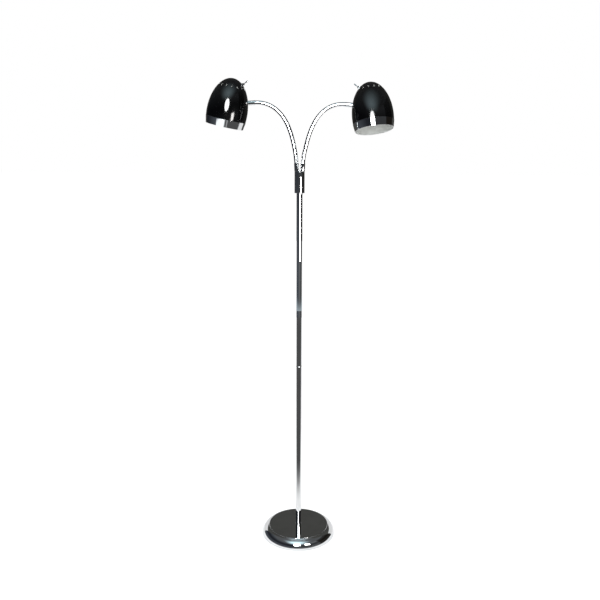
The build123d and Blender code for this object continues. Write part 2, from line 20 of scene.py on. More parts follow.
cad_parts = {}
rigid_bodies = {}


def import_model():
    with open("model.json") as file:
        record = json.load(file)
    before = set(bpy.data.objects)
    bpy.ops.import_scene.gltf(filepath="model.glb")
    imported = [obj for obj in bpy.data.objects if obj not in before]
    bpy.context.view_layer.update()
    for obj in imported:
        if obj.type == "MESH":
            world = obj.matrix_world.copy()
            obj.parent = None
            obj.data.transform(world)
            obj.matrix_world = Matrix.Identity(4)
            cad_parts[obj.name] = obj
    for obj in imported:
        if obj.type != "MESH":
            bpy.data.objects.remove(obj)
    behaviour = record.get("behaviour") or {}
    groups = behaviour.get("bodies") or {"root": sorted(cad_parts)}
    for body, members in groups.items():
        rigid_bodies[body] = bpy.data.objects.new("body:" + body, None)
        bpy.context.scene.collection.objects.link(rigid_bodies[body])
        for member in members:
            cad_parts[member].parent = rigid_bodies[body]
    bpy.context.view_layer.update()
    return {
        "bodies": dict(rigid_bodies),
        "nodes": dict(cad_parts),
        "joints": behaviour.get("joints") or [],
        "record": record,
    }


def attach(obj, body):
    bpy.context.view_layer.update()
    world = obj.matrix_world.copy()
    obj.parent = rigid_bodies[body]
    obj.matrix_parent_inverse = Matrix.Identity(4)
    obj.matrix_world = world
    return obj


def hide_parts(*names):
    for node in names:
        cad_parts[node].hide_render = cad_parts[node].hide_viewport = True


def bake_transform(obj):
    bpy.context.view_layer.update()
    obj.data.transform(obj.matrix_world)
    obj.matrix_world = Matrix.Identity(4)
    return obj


MM = 0.001
TINY = 1e-6             # a smaller radius is a point, and a smaller bend is straight
log = logging.getLogger("lamp")

Point2 = tuple[float, float]
Point3 = tuple[float, float, float]
Colour = tuple[float, float, float]
Material = bpy.types.Material
Socket = bpy.types.NodeSocket


# ---------------------------------------------------------------- placing


def shift(x: float, y: float, z: float) -> Matrix:
    """A move by three distances."""
    return Matrix.Translation((x, y, z))


def spin(angle: float, axis: str) -> Matrix:
    """A turn in degrees about a main axis."""
    return Matrix.Rotation(radians(angle), 4, axis)


# ---------------------------------------------------------------- outlines


def circle(radius: float, count: int) -> list[Point2]:
    """Corners of a level circle as x and y, counter-clockwise."""
    return [(x, y) for x, y, _ in ring(radius, 0, count)]


def arc(centre: Point2, radii: Point2, start: float, end: float, steps: int) -> list[Point2]:
    """Points along a part of an ellipse, both ends included.

    Args:
        centre: radius and height of the ellipse's middle.
        radii: half its width and half its height.
        start: angle of the first point, in degrees from the outward direction.
        end: angle of the last point, in degrees.
        steps: spans between the points.

    Returns:
        The points as radius and height.
    """
    turns = [radians(start + (end - start) * step / steps) for step in range(steps + 1)]
    return [(centre[0] + radii[0] * cos(turn), centre[1] + radii[1] * sin(turn)) for turn in turns]


def rounded_tube(radius: float, bore: float, low: float, high: float, edge: float) -> list[Point2]:
    """The outline of a tube whose two outer edges are rounded.

    Args:
        radius: outside.
        bore: inside radius.
        low: height of its foot.
        high: height of its top.
        edge: radius of the rounded edges.

    Returns:
        The closed outline as radius and height.
    """
    round_steps = 6
    outline = [(bore, low)]
    outline += arc((radius - edge, low + edge), (edge, edge), -90, 0, round_steps)
    outline += arc((radius - edge, high - edge), (edge, edge), 0, 90, round_steps)
    return outline + [(bore, high)]


# ---------------------------------------------------------------- forms


@dataclass
class Form:
    """Points and faces of one piece in millimetres, before it becomes an object."""

    points: list[Vector] = field(default_factory=list)
    faces: list[tuple[int, ...]] = field(default_factory=list)
    finish_numbers: list[int] = field(default_factory=list)
    lengths: list[tuple[Point2, ...]] = field(default_factory=list)

    def skin(self, rings: list[list[Vector]], bands: Callable[[int], int], closed: bool = True) -> Form:
        """Adds quads between neighbouring rings; a ring of one point makes a fan.

        Args:
            rings: the rings' points, all of one count or single.
            bands: gives the finish number of the span after each ring.
            closed: whether the last ring joins the first.

        Returns:
            This form.
        """
        starts, run, runs = [], 0.0, []
        for number, points in enumerate(rings):
            starts.append(len(self.points))
            self.points += points
            if number:
                run += (points[0] - rings[number - 1][0]).length
            runs.append(run)
        count = max(len(points) for points in rings)
        for number in range(len(rings) if closed else len(rings) - 1):
            after = (number + 1) % len(rings)
            one, two = len(rings[number]), len(rings[after])
            if one == two == 1:
                continue
            v_one, v_two = runs[number] * MM, (runs[after] if after else run) * MM
            for step in range(count):
                ahead = (step + 1) % count
                u_one, u_two = step / count, (step + 1) / count
                corners = [(starts[number] + step % one, (u_one, v_one))]
                if one > 1:
                    corners.append((starts[number] + ahead, (u_two, v_one)))
                if two > 1:
                    corners.append((starts[after] + ahead, (u_two, v_two)))
                corners.append((starts[after] + step % two, (u_one, v_two)))
                self.faces.append(tuple(index for index, _ in corners))
                self.lengths.append(tuple(place for _, place in corners))
                self.finish_numbers.append(bands(number))
        return self

    def moved(self, frame: Matrix) -> Form:
        """This form with its points carried by a placement."""
        self.points = [frame @ point for point in self.points]
        return self

    def made(self, name: str, finishes: Iterable[Material], sharp: float = 32.0) -> bpy.types.Object:
        """Turns the form into an object in the scene.

        Args:
            name: the piece's name.
            finishes: materials in the order of the finish numbers.
            sharp: edges that turn by more degrees than this stay crisp.

        Returns:
            The new object, in metres.
        """
        mesh = bpy.data.meshes.new(name)
        mesh.from_pydata([point * MM for point in self.points], [], self.faces)
        for finish in finishes:
            mesh.materials.append(finish)
        mesh.polygons.foreach_set("material_index", self.finish_numbers)
        places = [part for face in self.lengths for place in face for part in place]
        mesh.uv_layers.new(name="run").data.foreach_set("uv", places)
        mesh.polygons.foreach_set("use_smooth", [True] * len(self.faces))
        mesh.set_sharp_from_angle(angle=radians(sharp))
        mesh.update()
        piece = bpy.data.objects.new(name, mesh)
        bpy.context.scene.collection.objects.link(piece)
        weighted = piece.modifiers.new("even_shading", "WEIGHTED_NORMAL")
        weighted.keep_sharp = True
        return piece


def ring(radius: float, height: float, count: int) -> list[Vector]:
    """Points of a level ring about Z, or one point on the axis.

    Args:
        radius: distance from the axis.
        height: height of the ring.
        count: points in the ring.

    Returns:
        The points, or the one point.
    """
    if radius < TINY:
        return [Vector((0, 0, height))]
    turns = [2 * pi * step / count for step in range(count)]
    return [Vector((radius * cos(turn), radius * sin(turn), height)) for turn in turns]


def turned(outline: list[Point2], count: int = 96, bands: Callable[[int], int] = lambda _: 0) -> Form:
    """A solid turned about Z.

    Args:
        outline: closed outline as radius and height, counter-clockwise.
        count: points round the axis.
        bands: gives the finish number of the span after each outline point.

    Returns:
        The form.
    """
    return Form().skin([ring(radius, height, count) for radius, height in outline], bands)


def prism(outline: list[Point2], low: float, high: float, frame: Matrix) -> Form:
    """An upright block from a flat outline, used to cut holes.

    Args:
        outline: its corners as x and y, counter-clockwise.
        low: height of its foot.
        high: height of its top.
        frame: where it goes.

    Returns:
        The closed form.
    """
    form, count = Form(), len(outline)
    form.skin([[Vector((x, y, z)) for x, y in outline] for z in (low, high)], lambda _: 0, closed=False)
    for cap in (tuple(range(count))[::-1], tuple(range(count, 2 * count))):
        form.faces.append(cap)
        form.lengths.append(((0.0, 0.0),) * count)
        form.finish_numbers.append(0)
    return form.moved(frame)


def cut(piece: bpy.types.Object, cutters: list[Form]) -> None:
    """Cuts closed forms out of a piece for good.

    Args:
        piece: the object that is cut.
        cutters: the forms to take away, clear of each other.
    """
    tool = Form()
    for cutter in cutters:
        offset = len(tool.points)
        tool.points += cutter.points
        tool.faces += [tuple(index + offset for index in face) for face in cutter.faces]
        tool.lengths += cutter.lengths
        tool.finish_numbers += cutter.finish_numbers
    knife = tool.made(f"{piece.name}_knife", [])
    knife.modifiers.clear()
    kept = [(modifier.name, modifier.type) for modifier in piece.modifiers]
    piece.modifiers.clear()
    difference = piece.modifiers.new("holes", "BOOLEAN")
    difference.operation, difference.solver, difference.object = "DIFFERENCE", "EXACT", knife
    graph = bpy.context.evaluated_depsgraph_get()
    mesh = bpy.data.meshes.new_from_object(piece.evaluated_get(graph), depsgraph=graph)
    piece.modifiers.clear()
    old, piece.data = piece.data, mesh
    bpy.data.meshes.remove(old)
    knife_mesh = knife.data
    bpy.data.objects.remove(knife)
    bpy.data.meshes.remove(knife_mesh)
    for name, kind in kept:
        piece.modifiers.new(name, kind).keep_sharp = True


# ---------------------------------------------------------------- finishes


class Bench:
    """Places and joins the nodes of one tree."""

    def __init__(self, tree: bpy.types.NodeTree) -> None:
        """Starts on a tree that may be empty."""
        self.tree = tree

    def add(self, kind: str, values: dict | None = None, **settings: object) -> bpy.types.Node:
        """Adds a node.

        Args:
            kind: the node's type name.
            values: input values by socket name, or a source socket to join.
            **settings: the node's own properties.

        Returns:
            The node.
        """
        node = self.tree.nodes.new(kind)
        for name, value in settings.items():
            setattr(node, name, value)
        for name, value in (values or {}).items():
            socket = node.inputs[name]
            if isinstance(value, Socket):
                self.tree.links.new(value, socket)
            else:
                socket.default_value = value
        return node

    def noise(self, vector: Socket, scale: object, detail: float) -> Socket:
        """The grey value of a noise pattern."""
        values = {"Vector": vector, "Scale": scale, "Detail": detail}
        return self.add("ShaderNodeTexNoise", values).outputs["Fac"]

    def sum(self, kind: str, first: object, second: object) -> Socket:
        """The result of a sum, such as ADD or MULTIPLY, on two values or sockets."""
        node = self.add("ShaderNodeMath", {0: first, 1: second}, operation=kind)
        return node.outputs[0]

    def spread(self, value: Socket, span: Point2, to: tuple) -> Socket:
        """A value carried from one range to another and held inside it.

        Args:
            value: what is carried over.
            span: the range that it comes from.
            to: the range that it goes to.

        Returns:
            The carried value.
        """
        values = {"Value": value, "From Min": span[0], "From Max": span[1]}
        values |= {"To Min": to[0], "To Max": to[1]}
        return self.add("ShaderNodeMapRange", values).outputs["Result"]

    def eased(self, value: Socket, span: Point2) -> Socket:
        """A share from 0 to 1 over a range of a value, slow at both ends."""
        values = {"Value": value, "From Min": span[0], "From Max": span[1]}
        return self.add("ShaderNodeMapRange", values, interpolation_type="SMOOTHSTEP").outputs["Result"]

    def blended(self, share: object, first: object, second: object) -> Socket:
        """A colour between two, by a share from 0 to 1."""
        node = self.add("ShaderNodeMix", {0: share, 6: first, 7: second}, data_type="RGBA")
        return node.outputs[2]

    def parts(self, vector: Socket) -> bpy.types.NodeOutputs:
        """The X, Y and Z of a vector."""
        return self.add("ShaderNodeSeparateXYZ", {0: vector}).outputs

    def place(self, kind: str = "Object") -> Socket:
        """Where the surface is, in the object's own axes or along its outline."""
        return self.add("ShaderNodeTexCoord").outputs[kind]


def blank_material(name: str) -> tuple[Material, Bench]:
    """An empty material and the bench for its nodes.

    Args:
        name: the material's name.

    Returns:
        The material and its bench.
    """
    made = bpy.data.materials.new(name)
    made.use_nodes = True
    made.node_tree.nodes.clear()
    return made, Bench(made.node_tree)


class SharedEffects:
    """Shader groups that several finishes use, each made once.

    The scales are in patterns per metre, and each pair is the span of a pattern that counts.
    """

    SMUDGE_SCALE = 22.0
    SMUDGED = (0.42, 0.68)
    SMUDGE_RISE = 0.2
    SCRATCH_TURN = (0.5, 0.3, 0.9)
    SCRATCH_STRETCH = (40, 900, 40)
    SCRATCHED = (0.62, 0.7)
    FACING_UP = (0.1, 1.0)
    SPECK_SCALE = 900.0
    SPECKED = (0.55, 0.8)
    PATCH_SCALE = 14.0
    COARSE_SCALE = 0.12
    GRAINED = (0.3, 0.7)

    def __init__(self) -> None:
        """Makes the groups."""
        self.handling = self._handling()
        self.dust = self._dust()
        self.grain = self._grain()

    @staticmethod
    def _group(
        name: str, inputs: dict[str, float], outputs: list[str],
    ) -> tuple[bpy.types.NodeTree, Bench]:
        """An empty group with number sockets.

        Args:
            name: the group's name.
            inputs: default values of its inputs by name.
            outputs: names of its outputs.

        Returns:
            The group and its bench.
        """
        tree = bpy.data.node_groups.new(name, "ShaderNodeTree")
        for socket, value in inputs.items():
            made = tree.interface.new_socket(socket, in_out="INPUT", socket_type="NodeSocketFloat")
            made.default_value = value
        for socket in outputs:
            tree.interface.new_socket(socket, in_out="OUTPUT", socket_type="NodeSocketFloat")
        return tree, Bench(tree)

    def _handling(self) -> bpy.types.NodeTree:
        """Smudges and hair-fine scratches of a handled surface, as a mask and a height.

        Returns:
            The group.
        """
        inputs = {"Scale": 1.0, "Scratches": 0.3}
        tree, bench = self._group("handling_marks", inputs, ["Mask", "Height"])
        given, place = bench.add("NodeGroupInput"), bench.place()
        smudge_scale = bench.sum("MULTIPLY", given.outputs["Scale"], self.SMUDGE_SCALE)
        smudge = bench.spread(bench.noise(place, smudge_scale, 4.0), self.SMUDGED, (0.0, 1.0))
        drawn_out = {"Vector": place, "Rotation": self.SCRATCH_TURN, "Scale": self.SCRATCH_STRETCH}
        stretch = bench.add("ShaderNodeMapping", drawn_out)
        line = bench.noise(stretch.outputs["Vector"], given.outputs["Scale"], 2.0)
        line = bench.spread(line, self.SCRATCHED, (0.0, 1.0))
        line = bench.sum("MULTIPLY", line, given.outputs["Scratches"])
        mask = bench.sum("MAXIMUM", smudge, line)
        height = bench.sum("SUBTRACT", bench.sum("MULTIPLY", smudge, self.SMUDGE_RISE), line)
        out = bench.add("NodeGroupOutput")
        tree.links.new(mask, out.inputs["Mask"])
        tree.links.new(height, out.inputs["Height"])
        return tree

    def _dust(self) -> bpy.types.NodeTree:
        """Fine dust that lies on what faces up, as a mask.

        Returns:
            The group.
        """
        tree, bench = self._group("settled_dust", {"Amount": 0.1, "Scale": 1.0}, ["Mask"])
        given, place = bench.add("NodeGroupInput"), bench.place()
        facing = bench.parts(bench.add("ShaderNodeNewGeometry").outputs["Normal"])
        up = bench.spread(facing["Z"], self.FACING_UP, (0.0, 1.0))
        scale = given.outputs["Scale"]
        speck = bench.noise(place, bench.sum("MULTIPLY", scale, self.SPECK_SCALE), 2.0)
        patch = bench.noise(place, bench.sum("MULTIPLY", scale, self.PATCH_SCALE), 2.0)
        speck = bench.spread(speck, self.SPECKED, (0.0, 1.0))
        mask = bench.sum("MULTIPLY", bench.sum("MULTIPLY", speck, patch), up)
        mask = bench.sum("MULTIPLY", mask, given.outputs["Amount"])
        tree.links.new(mask, bench.add("NodeGroupOutput").inputs["Mask"])
        return tree

    def _grain(self) -> bpy.types.NodeTree:
        """A fine grain, coarse over fine, as a tone and a height.

        Returns:
            The group.
        """
        tree, bench = self._group("fine_grain", {"Scale": 500.0, "Coarse": 0.3}, ["Tone", "Height"])
        given, place = bench.add("NodeGroupInput"), bench.place()
        fine = bench.noise(place, given.outputs["Scale"], 4.0)
        coarse_scale = bench.sum("MULTIPLY", given.outputs["Scale"], self.COARSE_SCALE)
        values = {0: given.outputs["Coarse"], 2: fine, 3: bench.noise(place, coarse_scale, 3.0)}
        blend = bench.add("ShaderNodeMix", values, data_type="FLOAT").outputs[0]
        out = bench.add("NodeGroupOutput")
        tree.links.new(blend, out.inputs["Height"])
        tree.links.new(bench.spread(blend, self.GRAINED, (0.0, 1.0)), out.inputs["Tone"])
        return tree


@dataclass(frozen=True)
class Finish:
    """A finish: its name, and the record's slot that it stands for."""

    name: str
    slot: str

    def dress(self, bench: Bench, shader: bpy.types.Node, effects: SharedEffects) -> None:
        """Fills in the shader of this finish."""
        raise NotImplementedError

    def material(self, effects: SharedEffects) -> Material:
        """The finish as a material.

        Args:
            effects: the shared shader groups.

        Returns:
            The material.
        """
        made, bench = blank_material(self.name)
        shader = bench.add("ShaderNodeBsdfPrincipled")
        self.dress(bench, shader, effects)
        bench.add("ShaderNodeOutputMaterial", {"Surface": shader.outputs[0]})
        return made

    @staticmethod
    def effect(bench: Bench, tree: bpy.types.NodeTree, **values: float) -> bpy.types.Node:
        """Places a shared group with its own values.

        Args:
            bench: the bench of the material's nodes.
            tree: the shared group.
            **values: its inputs' values by name.

        Returns:
            The placed group.
        """
        node = bench.add("ShaderNodeGroup", node_tree=tree)
        for name, value in values.items():
            node.inputs[name].default_value = value
        return node

    @staticmethod
    def raised(bench: Bench, shader: bpy.types.Node, height: Socket, depth: float) -> None:
        """Raises the surface by a height pattern, by up to a depth in metres."""
        bump = bench.add("ShaderNodeBump", {"Height": height, "Distance": depth, "Strength": 1.0})
        bench.tree.links.new(bump.outputs["Normal"], shader.inputs["Normal"])


@dataclass(frozen=True)
class Plating(Finish):
    """Polished plating over steel, brass or cast metal."""

    colour: Colour = (0.66, 0.67, 0.68)
    polish: Point2 = (0.02, 0.06)       # roughness where clean and where smudged
    waviness: float = 0.000004
    dust: float = 0.10
    smudge_shade: float = 0.93
    dust_colour: Colour = (0.55, 0.54, 0.51)
    dust_rough: float = 0.5

    def dress(self, bench: Bench, shader: bpy.types.Node, effects: SharedEffects) -> None:
        """Plating with smudges, hair scratches, a trace of waviness and settled dust.

        Args:
            bench: the bench of the material's nodes.
            shader: the shader to fill in.
            effects: the shared shader groups.
        """
        marks = self.effect(bench, effects.handling, Scale=1.0, Scratches=0.25)
        dust = self.effect(bench, effects.dust, Amount=self.dust, Scale=1.0)
        dull = tuple(part * self.smudge_shade for part in self.colour)
        tone = bench.blended(marks.outputs["Mask"], (*self.colour, 1), (*dull, 1))
        tone = bench.blended(dust.outputs["Mask"], tone, (*self.dust_colour, 1))
        bench.tree.links.new(tone, shader.inputs["Base Color"])
        rough = bench.spread(marks.outputs["Mask"], (0.0, 1.0), self.polish)
        dusty = bench.sum("MULTIPLY", dust.outputs["Mask"], self.dust_rough)
        rough = bench.sum("ADD", rough, dusty)
        bench.tree.links.new(rough, shader.inputs["Roughness"])
        shader.inputs["Metallic"].default_value = 1.0
        grain = self.effect(bench, effects.grain, Scale=60.0, Coarse=0.6)
        self.raised(bench, shader, grain.outputs["Height"], self.waviness)


@dataclass(frozen=True)
class Enamel(Finish):
    """Baked enamel, glossy or satin."""

    colour: Colour = (0.004, 0.004, 0.005)
    polish: Point2 = (0.08, 0.13)
    orange_peel: float = 0.000006
    dust: float = 0.15
    dust_colour: Colour = (0.42, 0.41, 0.39)

    def dress(self, bench: Bench, shader: bpy.types.Node, effects: SharedEffects) -> None:
        """Enamel with a trace of orange peel, smudges and settled dust.

        Args:
            bench: the bench of the material's nodes.
            shader: the shader to fill in.
            effects: the shared shader groups.
        """
        marks = self.effect(bench, effects.handling, Scale=1.3, Scratches=0.2)
        dust = self.effect(bench, effects.dust, Amount=self.dust, Scale=1.0)
        tone = bench.blended(dust.outputs["Mask"], (*self.colour, 1), (*self.dust_colour, 1))
        bench.tree.links.new(tone, shader.inputs["Base Color"])
        rough = bench.spread(marks.outputs["Mask"], (0.0, 1.0), self.polish)
        bench.tree.links.new(rough, shader.inputs["Roughness"])
        peel = self.effect(bench, effects.grain, Scale=420.0, Coarse=0.5)
        self.raised(bench, shader, peel.outputs["Height"], self.orange_peel)


@dataclass(frozen=True)
class Grained(Finish):
    """A grained surface: cast iron, felt or moulded plastic."""

    light: Colour = (0.1, 0.1, 0.1)
    dark: Colour = (0.05, 0.05, 0.05)
    rough: Point2 = (0.6, 0.8)
    grain_scale: float = 500.0
    coarse: float = 0.3
    depth: float = 0.0001
    metallic: float = 0.0
    sheen: float = 0.0

    def dress(self, bench: Bench, shader: bpy.types.Node, effects: SharedEffects) -> None:
        """Two tones over a grain that also sets roughness and height.

        Args:
            bench: the bench of the material's nodes.
            shader: the shader to fill in.
            effects: the shared shader groups.
        """
        grain = self.effect(bench, effects.grain, Scale=self.grain_scale, Coarse=self.coarse)
        tone = bench.blended(grain.outputs["Tone"], (*self.dark, 1), (*self.light, 1))
        bench.tree.links.new(tone, shader.inputs["Base Color"])
        rough = bench.spread(grain.outputs["Tone"], (0.0, 1.0), self.rough)
        bench.tree.links.new(rough, shader.inputs["Roughness"])
        shader.inputs["Metallic"].default_value = self.metallic
        shader.inputs["Sheen Weight"].default_value = self.sheen
        self.raised(bench, shader, grain.outputs["Height"], self.depth)


@dataclass(frozen=True)
class OpalGlass(Finish):
    """A bulb's glass, frosted white inside."""

    colour: Colour = (0.93, 0.94, 0.93)
    cloud_shade: float = 0.96
    polish: Point2 = (0.18, 0.26)
    bending: float = 1.5
    clearness: float = 0.35
    gloss: float = 0.6

    def dress(self, bench: Bench, shader: bpy.types.Node, effects: SharedEffects) -> None:
        """Milky glass with faint cloudiness in its frosting.

        Args:
            bench: the bench of the material's nodes.
            shader: the shader to fill in.
            effects: the shared shader groups.
        """
        grain = self.effect(bench, effects.grain, Scale=300.0, Coarse=0.7)
        cloudy = tuple(part * self.cloud_shade for part in self.colour)
        tone = bench.blended(grain.outputs["Tone"], (*self.colour, 1), (*cloudy, 1))
        bench.tree.links.new(tone, shader.inputs["Base Color"])
        rough = bench.spread(grain.outputs["Tone"], (0.0, 1.0), self.polish)
        bench.tree.links.new(rough, shader.inputs["Roughness"])
        shader.inputs["IOR"].default_value = self.bending
        shader.inputs["Transmission Weight"].default_value = self.clearness
        shader.inputs["Coat Weight"].default_value = self.gloss


class Wardrobe:
    """Every finish of the lamp as a material, by the finish's name."""

    FINISHES = (
        Plating("base_mirror", "mirror_chrome", polish=(0.004, 0.014), waviness=0.0000015, dust=0.12),
        Plating("pole_chrome", "bright_chrome", polish=(0.006, 0.025), waviness=0.000002),
        Plating("neck_chrome", "gooseneck_chrome", polish=(0.06, 0.11), dust=0.05),
        Plating("zinc_steel", "steel", (0.62, 0.63, 0.64), (0.22, 0.38), 0.00001, 0.1),
        Plating("cap_brass", "bulb_cap_metal", (0.74, 0.72, 0.66), (0.18, 0.3), 0.000008, 0.05),
        Enamel("shade_black", "black_enamel", (0.0012, 0.0012, 0.0014)),
        # white inside enamel, which is real; the shell's hole walls also take it as a painted highlight
        Enamel("shade_white", "black_enamel", (0.80, 0.82, 0.80), (0.42, 0.5), 0.00001),
        Grained(
            "iron", "cast_iron", (0.12, 0.115, 0.11), (0.05, 0.048, 0.046),
            rough=(0.6, 0.85), grain_scale=260.0, coarse=0.4, depth=0.0003, metallic=0.6,
        ),
        Grained(
            "pad_felt", "felt", (0.05, 0.05, 0.052), (0.018, 0.018, 0.02),
            rough=(0.9, 1.0), grain_scale=1600.0, coarse=0.2, depth=0.0003, sheen=0.4,
        ),
        Grained(
            "bushing_plastic", "black_plastic", (0.022, 0.022, 0.023), (0.014, 0.014, 0.015),
            rough=(0.35, 0.5), grain_scale=900.0,
        ),
        Grained(
            "holder_plastic", "white_plastic", (0.78, 0.77, 0.73), (0.72, 0.71, 0.67),
            rough=(0.3, 0.42), grain_scale=700.0,
        ),
        Grained(
            "flex_plastic", "flex_sheath", (0.03, 0.03, 0.03), (0.02, 0.02, 0.02),
            rough=(0.45, 0.6), grain_scale=800.0,
        ),
        OpalGlass("opal_bulb", "bulb_glass"),
    )

    def __init__(self) -> None:
        """Makes the shared groups and then each material."""
        effects = SharedEffects()
        self.materials = {finish.name: finish.material(effects) for finish in self.FINISHES}
        self.slots = {finish.name: finish.slot for finish in self.FINISHES}

    def __getitem__(self, name: str) -> Material:
        """The material of one finish."""
        return self.materials[name]


# ---------------------------------------------------------------- sub-assemblies


@dataclass
class Assembly:
    """A group of pieces that are built and dressed together."""

    frame: dict
    wardrobe: Wardrobe
    made: list[str] = field(default_factory=list, init=False)

    def settle(self, piece: bpy.types.Object, body: str, finish: str, *nodes: str) -> bpy.types.Object:
        """Sets a finished piece on its body.

        Args:
            piece: the new object.
            body: the body that carries it.
            finish: the name of its finish.
            *nodes: the model's nodes that it stands for.

        Returns:
            The piece.
        """
        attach(piece, body)
        return self.note(piece, finish, *nodes)

    def note(self, piece: bpy.types.Object, finish: str, *nodes: str) -> bpy.types.Object:
        """Hides the nodes that a piece stands for and lists the piece.

        Args:
            piece: the object.
            finish: not used.
            *nodes: the model's nodes that it stands for.

        Returns:
            The piece.
        """
        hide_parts(*nodes)
        self.made.append(piece.name)
        return piece

    def carry_over(self, finishes: dict[str, str]) -> None:
        """Gives nodes of the model that stay as they are their finishes.

        Args:
            finishes: finish name by node name.
        """
        for node, finish in finishes.items():
            piece = self.frame["nodes"][node]
            piece.data.materials.clear()
            piece.data.materials.append(self.wardrobe[finish])
            self.made.append(node)

    def build(self) -> None:
        """Makes and dresses the pieces."""
        raise NotImplementedError


@dataclass
class Base(Assembly):
    """The weighted base under its mirror cover."""

    base_r: float = 127.0
    plate_r: float = 101.5
    height: float = 33.5
    sheet: float = 1.2
    lift: float = 1.0
    stud_r: float = 6.0
    bushing_z: float = 9.0
    bushing_r: float = 5.0
    shoulder_middle_r: float = 96.0
    shoulder_rise: float = 32.3
    shoulder_end: float = 78.5      # degrees up the shoulder at which the bead begins
    bead_r: float = 1.0
    bead_in: float = 0.3            # from the plate's edge in to the bead's middle
    bead_start: float = 10.0
    shoulder_steps: int = 48
    bead_steps: int = 8
    around: int = 256
    past_cover: float = 10.0        # how far the cord hole's cutter runs on outside

    def cover(self) -> bpy.types.Object:
        """The domed sheet cover with its shoulder, its bead and the cord's hole at the back.

        Returns:
            The cover as one object.
        """
        middle, steps = (self.shoulder_middle_r, self.lift), self.shoulder_steps
        radii = (self.base_r - self.shoulder_middle_r, self.shoulder_rise)
        outline = arc(middle, radii, 0, self.shoulder_end, steps)
        bead = (self.plate_r - self.bead_in, self.height - self.bead_r)
        outline += arc(bead, (self.bead_r,) * 2, self.bead_start, 90, self.bead_steps)
        underside = self.height - self.sheet
        outline += [(self.stud_r, self.height), (self.stud_r, underside)]
        outline += [(self.shoulder_middle_r, underside)]
        inner = arc(middle, (radii[0] - self.sheet, radii[1] - self.sheet), self.shoulder_end, 0, steps)
        piece = turned(outline + inner, self.around).made("mirror_cover", [self.wardrobe["base_mirror"]])
        to_back, past = shift(0, 0, self.bushing_z) @ spin(-90, "X"), self.base_r + self.past_cover
        cut(piece, [prism(circle(self.bushing_r, 32), self.plate_r, past, to_back)])
        return piece

    def build(self) -> None:
        """Makes the cover and dresses what is under it."""
        self.settle(self.cover(), "stand", "base_mirror", "base_cover")
        self.carry_over({
            "base_weight": "iron", "base_pad": "pad_felt", "base_stud": "zinc_steel",
            "base_washer": "zinc_steel", "base_nut": "zinc_steel", "cord_bushing": "bushing_plastic",
        })


@dataclass
class Pole(Assembly):
    """Two equal tubes with rings at the foot and the middle."""

    radius: float = 9.5
    wall: float = 1.2
    foot: float = 33.5
    top: float = 1183.5
    joint_z: float = 609.0
    joint_h: float = 2.2
    joint_r: float = 10.1
    joint_edge: float = 0.9
    foot_ring_h: float = 1.6
    foot_ring_edge: float = 0.5
    tube_edge: float = 0.15

    def build(self) -> None:
        """Makes the tubes and rings, and dresses the coupling and the flex."""
        chrome = [self.wardrobe["pole_chrome"]]
        bore = self.radius - self.wall
        joint_low, joint_high = self.joint_z - self.joint_h / 2, self.joint_z + self.joint_h / 2
        lower = rounded_tube(self.radius, bore, self.foot, joint_low, self.tube_edge)
        upper = rounded_tube(self.radius, bore, joint_high, self.top, self.tube_edge)
        bead = rounded_tube(self.joint_r, bore, joint_low, joint_high, self.joint_edge)
        foot_top = self.foot + self.foot_ring_h
        foot_ring = rounded_tube(self.joint_r, self.radius, self.foot, foot_top, self.foot_ring_edge)
        pieces = {"lower_tube": (lower, "pole_lower"), "upper_tube": (upper, "pole_upper")}
        pieces |= {"joint_bead": (bead, "pole_joint_ring"), "foot_bead": (foot_ring, "pole_foot_ring")}
        for name, (outline, node) in pieces.items():
            piece = turned(outline, 128).made(name, chrome)
            self.settle(piece, "stand", "pole_chrome", node)
        self.carry_over({"pole_coupling": "zinc_steel", "pole_flex": "flex_plastic"})


